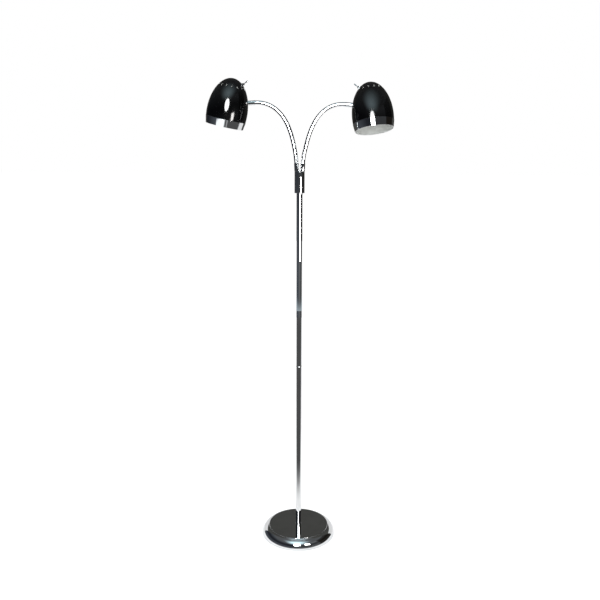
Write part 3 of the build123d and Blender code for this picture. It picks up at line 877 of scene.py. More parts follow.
@dataclass
class Block(Assembly):
    """The junction block with its cap and the cups that hold the goosenecks."""

    radius: float = 16.0
    wall: float = 1.5
    floor: float = 2.5
    edge: float = 0.5
    foot: float = 1183.5
    top: float = 1252.5
    cap_t: float = 2.2
    spigot: float = 3.0
    stud_r: float = 6.0
    cup_r: float = 7.1
    cup_edge: float = 0.6
    cup_tilt: float = 3.0
    cup_top: Point2 = (10.6, 1277.0)
    cup_seat: float = 12.0
    neck_r: float = 6.4
    around: int = 96
    edge_steps: int = 6

    def cup(self, heading: float) -> Form:
        """One tilted cup that stands on the cap.

        Args:
            heading: degrees about the pole.

        Returns:
            The form, with its foot flush on the cap.
        """
        length = self.cup_top[1] - self.top
        outline = [(0.0, -length), (self.cup_r, -length)]
        round_middle = (self.cup_r - self.cup_edge, -self.cup_edge)
        outline += arc(round_middle, (self.cup_edge,) * 2, 0, 90, self.edge_steps)
        outline += [(self.neck_r, 0.0), (self.neck_r, -self.cup_seat), (0.0, -self.cup_seat)]
        frame = spin(heading, "Z") @ shift(self.cup_top[0], 0, self.cup_top[1]) @ spin(self.cup_tilt, "Y")
        form = turned(outline, self.around).moved(frame)
        axis = (frame.to_3x3() @ Vector((0, 0, 1))).normalized()
        foot_points = 1 + self.around
        for number in range(foot_points):
            point = form.points[number]
            form.points[number] = point + axis * ((self.top - point.z) / axis.z)
        return form

    def build(self) -> None:
        """Makes the housing, cap and cups, and dresses what is inside."""
        chrome = [self.wardrobe["pole_chrome"]]
        inner, cap_low = self.radius - self.wall, self.top - self.cap_t
        housing = rounded_tube(self.radius, inner, self.foot, cap_low, self.edge)
        floor_z = self.foot + self.floor
        housing = [(self.stud_r, self.foot), *housing[1:], (inner, floor_z), (self.stud_r, floor_z)]
        piece = turned(housing, 128).made("housing", chrome)
        self.settle(piece, "stand", "pole_chrome", "block_housing")

        cap = rounded_tube(self.radius, inner, cap_low, self.top, self.edge)[1:-1]
        spigot_z = cap_low - self.spigot
        cap = [(0.0, spigot_z), (inner, spigot_z), (inner, cap_low), *cap, (0.0, self.top)]
        piece = turned(cap, 128).made("housing_cap", chrome)
        self.settle(piece, "stand", "pole_chrome", "block_cap")

        for side, heading in (("left", 180.0), ("right", 0.0)):
            piece = self.cup(heading).made(f"{side}_cup", chrome)
            self.settle(piece, "stand", "pole_chrome", "lower_ferrules")
        self.carry_over({
            "block_stud": "zinc_steel", "ferrule_nuts": "zinc_steel", "splice_caps": "holder_plastic",
        })


class Side(Enum):
    """Which of the two arms."""

    LEFT = "left"
    RIGHT = "right"


@dataclass(frozen=True)
class Course:
    """How one arm runs: its heading, its bends and how its shade hangs."""

    side: Side
    heading: float
    link_length: float
    turns: tuple[float, ...]
    lean: float
    mouth_turn: float
    vent_phase: float


@dataclass(frozen=True)
class Station:
    """A point on a gooseneck's centreline with its slope from upright, in degrees."""

    x: float
    z: float
    slope: float

    def frame(self) -> Matrix:
        """Placement whose Z runs along the neck and whose X points to its outside."""
        return shift(self.x, 0, self.z) @ spin(self.slope, "Y")

    def ahead(self, length: float, turn: float) -> Station:
        """The station after an arc of this length and turn.

        Args:
            length: length of the arc.
            turn: how much the slope grows along it, in degrees.

        Returns:
            The station at its end.
        """
        rise, lean = cos(radians(self.slope)), sin(radians(self.slope))
        if abs(turn) < TINY:
            return Station(self.x + length * lean, self.z + length * rise, self.slope)
        radius, far = length / radians(turn), self.slope + turn
        centre_x, centre_z = self.x + radius * rise, self.z - radius * lean
        return Station(centre_x - radius * cos(radians(far)), centre_z + radius * sin(radians(far)), far)


@dataclass
class Gooseneck(Assembly):
    """One wound gooseneck with the ferrule that carries its shade."""

    course: Course
    neck_r: float = 6.4
    bore_r: float = 4.2
    pitch: float = 2.4
    groove: float = 0.035
    per_turn: int = 8               # rings of points to each turn of the winding
    around: int = 48
    bore_rings: int = 12
    slack: float = 0.2              # room at both ends of the neck in its seats
    mouth: Station = Station(10.6, 1277.0, 3.0)
    seat: float = 12.0
    tip_seat: float = 8.0
    ferrule_r: float = 6.9
    ferrule_length: float = 24.0
    ferrule_edge: float = 0.4
    nipple_r: float = 4.9
    face_gap: float = 0.3

    def stations(self) -> list[Station]:
        """The ends of the gooseneck's links, from the cup's mouth to the tip.

        Returns:
            The stations in order.
        """
        found = [self.mouth]
        for turn in self.course.turns:
            found.append(found[-1].ahead(self.course.link_length, turn))
        return found

    def station_at(self, run: float) -> Station:
        """The centreline's station at a length from the cup's mouth.

        Args:
            run: length from the cup's mouth, which may lie outside the neck.

        Returns:
            The station.
        """
        length, stations = self.course.link_length, self.stations()
        number = min(max(int(run // length), 0), len(self.course.turns) - 1)
        total = length * len(self.course.turns)
        if run < 0:
            return stations[0].ahead(run, 0)
        if run > total:
            return stations[-1].ahead(run - total, 0)
        rest = run - number * length
        return stations[number].ahead(rest, self.course.turns[number] * rest / length)

    def wound_ring(self, run: float) -> list[Vector]:
        """One ring of the wound surface, whose grooves climb like a thread.

        Args:
            run: length from the cup's mouth.

        Returns:
            The ring's points.
        """
        frame = spin(self.course.heading, "Z") @ self.station_at(run).frame()
        points = []
        for step in range(self.around):
            share = step / self.around
            dip = (1 + cos(2 * pi * (run / self.pitch - share))) / 2
            radius = self.neck_r - self.groove * dip
            turn = 2 * pi * share
            points.append(frame @ Vector((radius * cos(turn), radius * sin(turn), 0)))
        return points

    def bore_ring(self, run: float) -> list[Vector]:
        """One ring of the bore."""
        frame = spin(self.course.heading, "Z") @ self.station_at(run).frame()
        return [frame @ point for point in ring(self.bore_r, 0, self.around)]

    def stretch(self, start: float, end: float) -> Form:
        """The neck between two lengths along it, hollow and closed.

        Args:
            start: length from the cup's mouth to its foot.
            end: length from the cup's mouth to its end.

        Returns:
            The form.
        """
        turns = max(2, round((end - start) / self.pitch * self.per_turn))
        runs = [start + (end - start) * step / turns for step in range(turns + 1)]
        back = range(self.bore_rings, -1, -1)
        inner = [start + (end - start) * step / self.bore_rings for step in back]
        rings = [self.wound_ring(run) for run in runs] + [self.bore_ring(run) for run in inner]
        return Form().skin(rings, lambda _: 0)

    def build(self) -> None:
        """Makes a stretch across each bend and the ferrule, and dresses the swivel's parts."""
        side, length = self.course.side.value, self.course.link_length
        links = len(self.course.turns)
        total = length * links
        for number in range(1, links):
            start, end = length * (number - 0.5), length * (number + 0.5)
            if number == 1:
                start = self.slack - self.seat
            if number == links - 1:
                end = total + self.tip_seat - self.slack
            name, finish = f"{side}_wound_neck_{number}", self.wardrobe["neck_chrome"]
            piece = self.stretch(start, end).made(name, [finish], 60.0)
            heading = spin(self.course.heading, "Z")
            ends = [
                heading @ self.station_at(length * (number + offset)).frame().translation * MM
                for offset in (-0.5, 0.5)
            ]
            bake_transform(piece)
            nodes = [f"{side}_neck_link_{number}"]
            if number == links - 1:
                nodes.append(f"{side}_neck_link_{links}")
            self.note(piece, "neck_chrome", *nodes)

        end, edge = self.ferrule_length - self.face_gap, self.ferrule_edge
        outline = rounded_tube(self.ferrule_r, self.neck_r, 0.0, end, edge)[:-1]
        outline += [(self.nipple_r, end), (self.nipple_r, self.tip_seat), (self.neck_r, self.tip_seat)]
        tip = spin(self.course.heading, "Z") @ self.stations()[-1].frame()
        piece = turned(outline, 96).moved(tip).made(f"{side}_tip_sleeve", [self.wardrobe["pole_chrome"]])
        self.settle(piece, f"{side}_neck_{links}", "pole_chrome", f"{side}_tip_ferrule")
        self.carry_over({f"{side}_swivel_nipple": "zinc_steel", f"{side}_swivel_nut": "zinc_steel"})


@dataclass
class Head(Assembly):
    """One shade with its rim, lampholder, bulb and toggle switch."""

    course: Course
    neck: Gooseneck
    shade_r: float = 64.2
    shade_h: float = 106.2
    drop: float = 41.4
    wall: float = 0.8
    rim_t: float = 0.6
    rim_top: float = -19.0
    rim_lip: float = 0.6
    rim_edge: float = 0.3
    vents: int = 15
    vent_z: float = 81.5
    vent_size: Point2 = (8.0, 4.5)
    arm_hole_z: float = 43.0
    arm_hole_r: float = 4.98
    switch_z: float = 92.5
    bush_r: float = 3.2
    lever_pivot: float = 4.2
    lever_throw: float = 12.5
    lever_length: float = 17.5
    lever_ball_r: float = 2.15
    lever_root_r: float = 1.3
    lever_tip_r: float = 2.1
    bulb_r: float = 24.0
    bulb_middle: float = 10.0
    bulb_wall: float = 0.9
    bulb_shoulder: float = 0.72
    bulb_neck_z: float = 52.0
    bulb_neck_r: float = 11.8
    bulb_top: float = 56.0
    around: int = 192
    steps: int = 84                 # spans up the shade's wall
    rim_steps: int = 28
    rim_wall_steps: int = 12
    rim_edge_start: float = 20.0
    ball_steps: int = 40
    shoulder_steps: int = 12
    shoulder_slope: float = 0.9     # share of the ball's own slope kept at the shoulder's foot
    shoulder_end: float = 2.0       # from the shoulder's end to the neck
    lever_around: int = 40
    cut_reach: float = 5.0
    on_wall: float = 0.02           # a point within this of the shade's form is on it

    def swivel_frame(self) -> Matrix:
        """The arm's axis in the head's own axes: origin at the wall, Z into the shade."""
        slope = self.neck.stations()[-1].slope + self.course.lean
        return shift(-self.radius_at(self.arm_hole_z), 0, self.arm_hole_z) @ spin(slope, "Y")

    def place(self) -> Matrix:
        """Placement of the head's own axes on its arm's tip.

        Returns:
            The placement.
        """
        wall = self.neck.stations()[-1].frame() @ shift(0, 0, self.neck.ferrule_length)
        turned_wall = spin(self.course.heading, "Z") @ wall @ spin(self.course.mouth_turn, "Z")
        return turned_wall @ self.swivel_frame().inverted()

    def radius_at(self, height: float, grow: float = 0.0) -> float:
        """Radius of the shade's outer form at a height, grown by an offset."""
        return (self.shade_r + grow) * sqrt(1 - (height / (self.shade_h + grow)) ** 2)

    def rise_at(self, height: float) -> float:
        """How far the wall's normal rises at a height, in degrees."""
        return degrees(atan2(height / self.shade_h**2, self.radius_at(height) / self.shade_r**2))

    def wall_frame(self, height: float) -> Matrix:
        """Placement on the wall on the arm's side, with Z outward and Y to the side."""
        return shift(-self.radius_at(height), 0, height) @ spin(self.rise_at(height) - 90, "Y")

    def meridian(self, grow: float, low: float, high: float, steps: int) -> list[Point2]:
        """Points up the shade's grown form between two heights.

        Args:
            grow: how far the form is grown.
            low: height of the first point.
            high: height of the last point.
            steps: spans between the points.

        Returns:
            The points as radius and height.
        """
        radii = (self.shade_r + grow, self.shade_h + grow)
        rises = [height / radii[1] for height in (low, high)]
        ends = [degrees(atan2(rise, sqrt(max(0.0, 1 - rise**2)))) for rise in rises]
        return arc((0.0, 0.0), radii, ends[0], ends[1], steps)

    def slot_outline(self) -> list[Point2]:
        """A vent slot's rounded outline, its long side along X.

        Returns:
            The corners as x and y.
        """
        radius = self.vent_size[1] / 2
        straight = self.vent_size[0] / 2 - radius
        ends = (radius, radius)
        return arc((straight, 0), ends, -90, 90, 10) + arc((-straight, 0), ends, 90, 270, 10)

    def shell(self) -> bpy.types.Object:
        """The spun shade, black outside and white inside, with its vents and holes.

        Returns:
            The shade as one object.
        """
        steps, inner_h = self.steps, self.shade_h - self.wall
        outer = self.meridian(0.0, -self.drop, self.shade_h, steps)
        inner = self.meridian(-self.wall, -self.drop, inner_h, steps)[::-1]
        outline = outer[:-1] + [(0.0, self.shade_h), (0.0, inner_h)] + inner[1:]
        last = len(outline) - 1
        form = turned(outline, self.around, lambda number: int(steps < number < last))
        finishes = [self.wardrobe["shade_black"], self.wardrobe["shade_white"]]
        piece = form.made(f"{self.course.side.value}_spun_shade", finishes)
        reach, cutters = self.cut_reach, []
        for number in range(self.vents):
            frame = spin(self.course.vent_phase + number * 360 / self.vents, "Z")
            frame = frame @ shift(self.radius_at(self.vent_z), 0, self.vent_z)
            frame = frame @ spin(90 - self.rise_at(self.vent_z), "Y")
            cutters.append(prism(self.slot_outline(), -reach, reach, frame))
        cutters.append(prism(circle(self.arm_hole_r, 32), -reach, reach, self.swivel_frame()))
        cutters.append(prism(circle(self.bush_r, 32), -reach, reach, self.wall_frame(self.switch_z)))
        cut(piece, cutters)
        self.true_normals(piece)
        piece.data.transform(self.metric(self.place()))
        return piece

    @staticmethod
    def metric(frame: Matrix) -> Matrix:
        """A placement in millimetres as one in metres.

        Args:
            frame: the placement in millimetres.

        Returns:
            The placement in metres.
        """
        made = frame.copy()
        made.translation = frame.translation * MM
        return made

    def true_normals(self, piece: bpy.types.Object) -> None:
        """Shades the shell by its exact form past the holes, whose walls turn white as a painted
        highlight that makes the vents read bright.

        Args:
            piece: the shell in the head's own axes, with its holes cut.
        """
        mesh, radius, height = piece.data, self.shade_r, self.shade_h
        forms = [(radius, height, 1.0), (radius - self.wall, height - self.wall, -1.0)]
        normals = [Vector((0, 0, 0))] * len(mesh.loops)
        for face in mesh.polygons:
            corners = [mesh.vertices[index].co / MM for index in face.vertices]
            for across, up, sign in forms:
                spans = [sqrt((p.x**2 + p.y**2) / across**2 + (p.z / up) ** 2) - 1 for p in corners]
                if max(abs(span) for span in spans) * across < self.on_wall:
                    for loop, p in zip(face.loop_indices, corners):
                        slope = Vector((p.x / across**2, p.y / across**2, p.z / up**2))
                        normals[loop] = slope.normalized() * sign
                    break
            else:
                # painted highlight: the hole and vent walls take the white inside finish so the vents
                # read bright, standing in for the lit inside seen through them
                face.material_index = 1
                for loop in face.loop_indices:
                    normals[loop] = face.normal.copy()
        mesh.normals_split_custom_set(normals)
        piece.modifiers.clear()

    def rim(self) -> bpy.types.Object:
        """The chrome rim that sleeves the shade's edge and folds under it.

        Returns:
            The rim as one object.
        """
        low, edge = -self.drop - self.rim_lip, self.rim_edge
        edge_r = self.radius_at(-self.drop)
        outline = [(edge_r - self.wall, low)]
        high = self.rim_top - edge
        top_r, low_r = self.radius_at(high, self.rim_t), self.radius_at(low, self.rim_t)
        for step in range(self.rim_wall_steps + 1):
            share = step / self.rim_wall_steps
            outline.append((low_r + (top_r - low_r) * share, low + (high - low) * share))
        outline += arc((top_r - edge, high), (edge, edge), self.rim_edge_start, 90, 5)
        outline += self.meridian(0.0, -self.drop, self.rim_top, self.rim_steps)[::-1]
        outline += [(edge_r - self.wall, -self.drop)]
        form = turned(outline, self.around).moved(self.place())
        return form.made(f"{self.course.side.value}_chrome_rim", [self.wardrobe["pole_chrome"]])

    def bulb(self) -> bpy.types.Object:
        """The round bulb's hollow glass, open at its neck.

        Returns:
            The glass as one object.
        """
        side_rise = self.bulb_shoulder * self.bulb_r

        def skin(grow: float) -> list[Point2]:
            """The glass's outline grown by an offset, from its foot to its open neck.

            Args:
                grow: the offset outward.

            Returns:
                The points as radius and height.
            """
            ball, throat = self.bulb_r + grow, self.bulb_neck_r + grow
            side_r, side_z = sqrt(ball**2 - side_rise**2), self.bulb_middle + side_rise
            start = degrees(atan2(side_rise, side_r))
            points = arc((0.0, self.bulb_middle), (ball, ball), -90, start, self.ball_steps)
            ease = (self.bulb_neck_z - self.shoulder_end) - side_z
            for step in range(1, self.shoulder_steps + 1):
                share = step / self.shoulder_steps
                weight = share * share * (3 - 2 * share)
                sloped = side_r - side_rise * share * self.shoulder_slope
                width = sloped * (1 - weight) + throat * weight
                points.append((max(throat, width), side_z + ease * share))
            return points + [(throat, self.bulb_top)]

        outer, inner = skin(0.0), skin(-self.bulb_wall)[::-1]
        outer[0], inner[-1] = (0.0, outer[0][1]), (0.0, inner[-1][1])
        form = turned(outer + inner, 96).moved(self.place())
        return form.made(f"{self.course.side.value}_bulb", [self.wardrobe["opal_bulb"]], 60.0)

    def lever(self) -> bpy.types.Object:
        """The switch's bat lever, from the ball at its pivot to its rounded tip.

        Returns:
            The lever as one object.
        """
        tip_z = self.lever_length - self.lever_tip_r
        ball_end = degrees(atan2(sqrt(self.lever_ball_r**2 - self.lever_root_r**2), self.lever_root_r))
        outline = arc((0.0, 0.0), (self.lever_ball_r,) * 2, -90, ball_end, 18)
        outline += arc((0.0, tip_z), (self.lever_tip_r,) * 2, 0, 90, 10)
        outline[0], outline[-1] = (0.0, -self.lever_ball_r), (0.0, self.lever_length)
        frame = self.place() @ self.wall_frame(self.switch_z) @ shift(0, 0, self.lever_pivot)
        frame = frame @ spin(-self.lever_throw, "X")
        form = turned(outline, self.lever_around).moved(frame)
        return form.made(f"{self.course.side.value}_bat_lever", [self.wardrobe["pole_chrome"]])

    def build(self) -> None:
        """Makes the shade, rim, bulb and lever, and dresses the rest."""
        side = self.course.side.value
        body = f"{side}_head"
        self.settle(self.shell(), body, "shade_black", f"{side}_shade")
        self.settle(self.rim(), body, "pole_chrome", f"{side}_rim_ring")
        self.settle(self.bulb(), body, "opal_bulb", f"{side}_bulb_glass")
        self.settle(self.lever(), f"{side}_lever", "pole_chrome", f"{side}_switch_lever")
        self.carry_over({
            f"{side}_holder_strap": "zinc_steel", f"{side}_strap_screws": "zinc_steel",
            f"{side}_lampholder": "holder_plastic", f"{side}_bulb_cap": "cap_brass",
            f"{side}_switch_body": "bushing_plastic", f"{side}_switch_nut": "pole_chrome",
        })


# ---------------------------------------------------------------- studio


class Facing(Enum):
    """How a flat card stands."""

    UPRIGHT = "upright"
    LEVEL = "level"


def lit_surface(bench: Bench, tint: object, strength: object) -> Socket:
    """A surface that gives out light of a colour."""
    return bench.add("ShaderNodeEmission", {"Color": tint, "Strength": strength}).outputs[0]


def faded(bench: Bench, share: Socket, surface: Socket) -> Socket:
    """A surface that is clear where the share is 0."""
    clear = bench.add("ShaderNodeBsdfTransparent").outputs[0]
    return bench.add("ShaderNodeMixShader", {0: share, 1: clear, 2: surface}).outputs[0]


def show_in_gloss_only(
    name: str, corners: list[Point3], faces: list[tuple[int, ...]], paint: Callable[[Bench], Socket],
) -> bpy.types.Object:
    """Puts a stage piece in the scene that only glossy surfaces and glass see.

    Args:
        name: the piece's name.
        corners: its points in metres.
        faces: its faces by the points' numbers.
        paint: makes its surface on a bench.

    Returns:
        The piece.
    """
    mesh = bpy.data.meshes.new(name)
    mesh.from_pydata(corners, [], faces)
    material, bench = blank_material(name)
    bench.add("ShaderNodeOutputMaterial", {"Surface": paint(bench)})
    mesh.materials.append(material)
    piece = bpy.data.objects.new(name, mesh)
    bpy.context.scene.collection.objects.link(piece)
    piece.visible_camera = piece.visible_diffuse = piece.visible_shadow = False
    piece.visible_volume_scatter = False
    return piece


def rectangle(wide: float, tall: float) -> list[Point2]:
    """Corners of a flat rectangle by half its width and half its height."""
    return [(-wide, -tall), (wide, -tall), (wide, tall), (-wide, tall)]


@dataclass(frozen=True)
class Lamp:
    """A soft lamp, in metres, that faces the floor lamp."""

    name: str
    spot: Point3
    size: Point2
    glow: float
    tint: Colour
    shine: float
    shape: str = "RECTANGLE"
    rim_points: int = 96
    behind: float = 0.01            # from the light back to the cloth

    def build(self, aim: Vector) -> None:
        """Hangs the lamp so that it faces a point, unseen by the camera itself.

        Args:
            aim: the point, in metres.
        """
        data = bpy.data.lights.new(self.name, "AREA")
        data.shape, data.size, data.size_y, data.color = self.shape, *self.size, self.tint
        area = self.size[0] * self.size[1] * (pi / 4 if self.shape == "ELLIPSE" else 1.0)
        data.energy = self.glow * pi * area
        lamp = bpy.data.objects.new(self.name, data)
        bpy.context.scene.collection.objects.link(lamp)
        spot = Vector(self.spot)
        turn = (spot - aim).to_track_quat("Z", "Y").to_matrix().to_4x4()
        lamp.matrix_world = Matrix.Translation(spot) @ turn
        lamp.visible_camera = False
        self._cloth(lamp.matrix_world)

    def _cloth(self, frame: Matrix) -> None:
        """The lamp's cloth, just behind its light, which adds to its shine in gloss.

        Args:
            frame: the lamp's placement in metres.
        """
        wide, tall = self.size[0] / 2, self.size[1] / 2
        flat = rectangle(wide, tall)
        if self.shape == "ELLIPSE":
            turns = [2 * pi * step / self.rim_points for step in range(self.rim_points)]
            flat = [(wide * cos(turn), tall * sin(turn)) for turn in turns]
        corners = [tuple(frame @ Vector((x, y, self.behind))) for x, y in flat]
        paint = partial(lit_surface, tint=(*self.tint, 1), strength=self.shine)
        show_in_gloss_only(f"{self.name}_cloth", corners, [tuple(range(len(corners)))], paint)


@dataclass(frozen=True)
class Card:
    """A flat card with soft edges that only shows in gloss, in metres."""

    name: str
    middle: Point3
    size: Point2
    facing: Facing
    tint: Colour
    glow: float
    soft: float                     # share of the card over which it fades out
    only: tuple[str, ...] = ()      # pieces that it shows in, where not in all

    def build(self) -> None:
        """Hangs the card."""
        x, y, z = self.middle
        flat = rectangle(self.size[0] / 2, self.size[1] / 2)
        corners = [(x + across, y + along, z) for across, along in flat]
        if self.facing is Facing.UPRIGHT:
            corners = [(x + across, y, z + up) for across, up in flat]
        piece = show_in_gloss_only(self.name, corners, [(0, 1, 2, 3)], self._surface)
        layer = piece.data.uv_layers.new(name="card")
        layer.data.foreach_set("uv", (0, 0, 1, 0, 1, 1, 0, 1))

    def _surface(self, bench: Bench) -> Socket:
        """A glow that fades out towards the card's edges.

        Args:
            bench: the bench of the card's nodes.

        Returns:
            The card's surface.
        """
        place, shares = bench.parts(bench.place("UV")), []
        for axis in ("X", "Y"):
            off_middle = bench.sum("SUBTRACT", place[axis], 0.5)
            from_edge = bench.sum("SUBTRACT", 0.5, bench.sum("ABSOLUTE", off_middle, 0))
            shares.append(bench.eased(from_edge, (0.0, self.soft)))
        share, tint = bench.sum("MULTIPLY", *shares), (*self.tint, 1)
        if not self.only:
            return faded(bench, share, lit_surface(bench, tint, self.glow))
        lit = lit_surface(bench, tint, bench.sum("MULTIPLY", share, self.glow))
        clear = bench.add("ShaderNodeBsdfTransparent").outputs[0]
        return bench.add("ShaderNodeAddShader", {0: clear, 1: lit}).outputs[0]

    def restrict(self) -> None:
        """Limits the card's light to its own pieces, once they are made."""
        if self.only:
            pieces = bpy.data.collections.new(f"{self.name}_pieces")
            for name in self.only:
                pieces.objects.link(bpy.data.objects[name])
            bpy.data.objects[self.name].light_linking.receiver_collection = pieces


@dataclass(frozen=True)
class Curtain:
    """An upright curved curtain round the lamp that only shows in gloss, in metres."""

    name: str
    azimuths: Point2                # degrees from the front, to the right
    heights: Point2
    low: Colour
    middle: Colour
    high: Colour
    radius: float = 3.3
    low_to_middle: Point2 = (0.7, 1.4)
    middle_to_high: Point2 = (2.0, 3.2)
    degrees_each: float = 4.0

    def build(self) -> None:
        """Hangs the curtain."""
        start, end = self.azimuths
        steps = max(2, round(abs(end - start) / self.degrees_each))
        points, faces = [], []
        for step in range(steps + 1):
            turn = radians(start + (end - start) * step / steps)
            for height in self.heights:
                points.append((self.radius * sin(turn), -self.radius * cos(turn), height))
            if step:
                last = 2 * step
                faces.append((last - 2, last, last + 1, last - 1))
        show_in_gloss_only(self.name, points, faces, self._surface)

    def _surface(self, bench: Bench) -> Socket:
        """A glow whose shade changes with height.

        Args:
            bench: the bench of the curtain's nodes.

        Returns:
            The curtain's surface.
        """
        height = bench.parts(bench.place())["Z"]
        first = bench.spread(height, self.low_to_middle, (0.0, 1.0))
        second = bench.spread(height, self.middle_to_high, (0.0, 1.0))
        tone = bench.blended(first, (*self.low, 1), (*self.middle, 1))
        return lit_surface(bench, bench.blended(second, tone, (*self.high, 1)), 1.0)


@dataclass
class Studio:
    """The camera, the pale floor, the soft lamps and the dark curtains round the lamp."""

    camera_azimuth: float = 5.5     # degrees from the front, to the right
    camera_distance: float = 2.27
    camera_height: float = 1.312
    camera_pitch: float = 11.86
    camera_roll: float = -0.197
    camera_lens: float = 42.34
    camera_shift: float = 0.0014
    sensor_width: float = 36.0
    sight: Point2 = (0.05, 100.0)
    aim: Point3 = (0.0, 0.0, 1.1)
    floor_half: float = 40.0
    floor_white: Colour = (0.8, 0.8, 0.8)
    floor_lift: float = 0.62
    world_level: float = 0.5
    lit_floor_r: Point2 = (0.2, 0.62)       # radii between which the mat turns dark
    mat_r: float = 3.3
    mat_z: float = 0.002
    mat_front: Point2 = (0.15, 0.45)        # how far in front the mat turns dark
    mat_spread: float = 0.45                # how far that line runs back beside the lamp
    mat_steps: int = 64
    mat_tone: Colour = (0.1, 0.1, 0.1)
    ceiling_z: float = 3.6
    ceiling_tone: Colour = (0.12, 0.125, 0.13)
    lamps: tuple[Lamp, ...] = (
        Lamp(
            "key_softbox", (0.03, -2.35, 1.9), (0.96, 1.22),
            glow=12.0, tint=(0.97, 1.0, 1.0), shine=20.0, shape="ELLIPSE",
        ),
        Lamp(
            "side_softbox", (0.75, -1.05, 0.98), (0.36, 0.42),
            glow=9.0, tint=(1.0, 0.97, 0.95), shine=14.0,
        ),
    )
    cards: tuple[Card, ...] = (
        Card(
            "overhead_card", (-0.05, -1.7, 2.9), (3.6, 3.6), Facing.LEVEL, (0.72, 0.93, 1.0),
            glow=2.3, soft=0.5,
        ),
        Card(
            "pole_card", (0.05, -1.0, 0.77), (0.2, 0.6), Facing.UPRIGHT, (0.97, 0.98, 1.0),
            glow=0.45, soft=0.3,
        ),
        Card(
            "rim_card", (-0.705, -0.92, 0.95), (1.15, 0.3), Facing.UPRIGHT, (0.97, 1.0, 1.0),
            glow=1.5, soft=0.15, only=("left_chrome_rim",),
        ),
        Card(
            "base_card", (-0.02, 0.15, 0.8), (0.5, 0.7), Facing.LEVEL, (0.8, 0.93, 1.0),
            glow=0.9, soft=0.5,
        ),
    )
    curtains: tuple[Curtain, ...] = (
        Curtain(
            "left_curtain", (-125, -12), (0.0, 3.6),
            (0.085, 0.095, 0.11), (0.02, 0.022, 0.028), (0.09, 0.1, 0.11),
        ),
        Curtain(
            "front_curtain", (-12, 75), (0.0, 3.6),
            (0.12, 0.125, 0.13), (0.05, 0.052, 0.055), (0.2, 0.21, 0.22),
        ),
        Curtain(
            "right_curtain", (75, 125), (0.0, 3.6),
            (0.032, 0.03, 0.028), (0.014, 0.012, 0.01), (0.05, 0.05, 0.05),
        ),
        Curtain(
            "back_curtain", (120, 240), (0.82, 3.6),
            (0.08, 0.08, 0.075), (0.08, 0.08, 0.075), (0.09, 0.09, 0.085), radius=1.7,
        ),
    )

    def camera(self) -> None:
        """Sets the camera where the photograph was taken."""
        data = bpy.data.cameras.new("camera")
        data.lens, data.sensor_width = self.camera_lens, self.sensor_width
        data.shift_x = self.camera_shift
        data.clip_start, data.clip_end = self.sight
        camera = bpy.data.objects.new("camera", data)
        bpy.context.scene.collection.objects.link(camera)
        turn, distance = radians(self.camera_azimuth), self.camera_distance
        spot = Vector((distance * sin(turn), -distance * cos(turn), self.camera_height))
        tilt = spin(90 - self.camera_pitch, "X") @ spin(-self.camera_roll, "Z")
        camera.matrix_world = Matrix.Translation(spot) @ spin(self.camera_azimuth, "Z") @ tilt
        bpy.context.scene.camera = camera

    def white_seen(self, bench: Bench) -> Socket:
        """1 for rays from the camera, from gloss and through glass, and 0 for the rest.

        Args:
            bench: the bench of the material's nodes.

        Returns:
            The value.
        """
        path = bench.add("ShaderNodeLightPath").outputs
        seen = bench.sum("MAXIMUM", path["Is Camera Ray"], path["Is Glossy Ray"])
        return bench.sum("MAXIMUM", seen, path["Is Transmission Ray"])

    def world(self) -> None:
        """A white surround that lights the lamp plainly."""
        world = bpy.data.worlds.new("surround")
        world.use_nodes = True
        world.node_tree.nodes.clear()
        bench = Bench(world.node_tree)
        level = bench.spread(self.white_seen(bench), (0.0, 1.0), (self.world_level, 1.0))
        surround = bench.add("ShaderNodeBackground", {"Color": (1, 1, 1, 1), "Strength": level})
        bench.add("ShaderNodeOutputWorld", {"Surface": surround.outputs[0]})
        bpy.context.scene.world = world

    def floor(self) -> None:
        """A white floor that keeps the lamp's shadow."""
        material, bench = blank_material("floor_white")
        matte = bench.add("ShaderNodeBsdfDiffuse", {"Color": (*self.floor_white, 1)}).outputs[0]
        lift = bench.sum("MULTIPLY", self.white_seen(bench), self.floor_lift)
        values = {0: matte, 1: lit_surface(bench, (1, 1, 1, 1), lift)}
        both = bench.add("ShaderNodeAddShader", values).outputs[0]
        bench.add("ShaderNodeOutputMaterial", {"Surface": both})
        mesh = bpy.data.meshes.new("floor")
        corners = [(x, y, 0) for x, y in rectangle(self.floor_half, self.floor_half)]
        mesh.from_pydata(corners, [], [(0, 1, 2, 3)])
        mesh.materials.append(material)
        floor = bpy.data.objects.new("floor", mesh)
        bpy.context.scene.collection.objects.link(floor)

    def mat(self) -> None:
        """A dark mat on the floor in front, clear round the base, that only shows in gloss."""
        steps, radii = self.mat_steps, (self.lit_floor_r[0], self.mat_r)
        corners = [(x, y, self.mat_z) for radius in radii for x, y in circle(radius, steps)]
        after = [(step + 1) % steps for step in range(steps)]
        faces = [(step, after[step], steps + after[step], steps + step) for step in range(steps)]
        show_in_gloss_only("dark_mat", corners, faces, self._mat_surface)

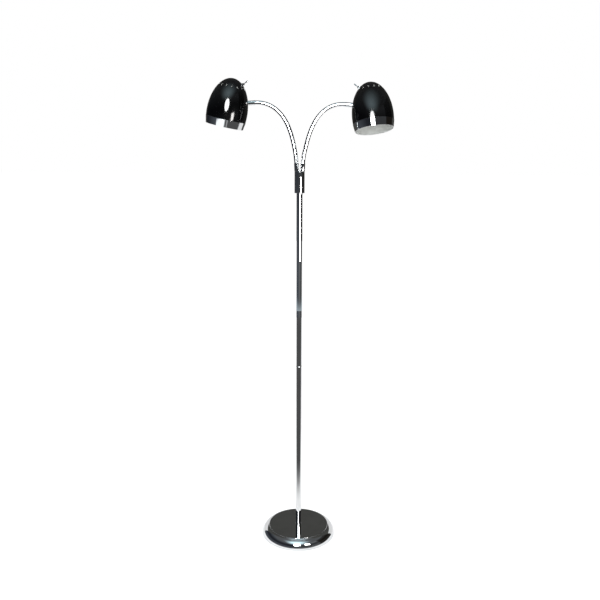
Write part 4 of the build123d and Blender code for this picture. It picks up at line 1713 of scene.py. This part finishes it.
    def _mat_surface(self, bench: Bench) -> Socket:
        """Dark in front of the lamp, and clear close to it and behind it.

        Args:
            bench: the bench of the mat's nodes.

        Returns:
            The mat's surface.
        """
        place = bench.place()
        length = bench.add("ShaderNodeVectorMath", {0: place}, operation="LENGTH")
        share = bench.spread(length.outputs["Value"], self.lit_floor_r, (0.0, 1.0))
        share = bench.sum("MULTIPLY", share, bench.sum("SUBTRACT", 2.0, share))
        x, y, _ = bench.parts(place)
        beside = bench.sum("MULTIPLY", bench.sum("ABSOLUTE", x, 0.0), self.mat_spread)
        ahead = bench.eased(bench.sum("SUBTRACT", beside, y), self.mat_front)
        share = bench.sum("MULTIPLY", share, ahead)
        return faded(bench, share, lit_surface(bench, (*self.mat_tone, 1), 1.0))

    def ceiling(self) -> None:
        """A dark ceiling that only shows in gloss."""
        corners = [(x, y, self.ceiling_z) for x, y in rectangle(self.mat_r, self.mat_r)]
        paint = partial(lit_surface, tint=(*self.ceiling_tone, 1), strength=1.0)
        show_in_gloss_only("dark_ceiling", corners, [(0, 1, 2, 3)], paint)

    def build(self) -> None:
        """Sets up the whole studio."""
        self.camera()
        self.world()
        self.floor()
        self.mat()
        self.ceiling()
        for lamp in self.lamps:
            lamp.build(Vector(self.aim))
        for piece in (*self.cards, *self.curtains):
            piece.build()
        bpy.context.scene.view_settings.view_transform = "Standard"


COURSES = (
    Course(Side.LEFT, 180.0, 35.8, (7.0, 4.0, 7.0, 12.5, 17.0, 21.5, 21.0), 12.9, -3.1, 4.0),
    Course(Side.RIGHT, 0.0, 34.9, (10.0, 2.0, 7.0, 10.5, 18.0, 22.0, 22.5), 7.4, -12.3, 22.5),
)


def main() -> None:
    """Builds the studio and every sub-assembly, logs each piece that is made, and limits the cards'
    light.
    """
    logging.basicConfig(level=logging.INFO, format="%(name)s: %(message)s")
    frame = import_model()
    studio = Studio()
    studio.build()
    wardrobe = Wardrobe()
    assemblies: list[Assembly] = [Base(frame, wardrobe), Pole(frame, wardrobe), Block(frame, wardrobe)]
    for course in COURSES:
        neck = Gooseneck(frame, wardrobe, course)
        assemblies += [neck, Head(frame, wardrobe, course, neck)]
    for assembly in assemblies:
        assembly.build()
        for name in assembly.made:
            log.info("%s: %s", type(assembly).__name__, name)
    for card in studio.cards:
        card.restrict()


if __name__ == "__main__":
    main()
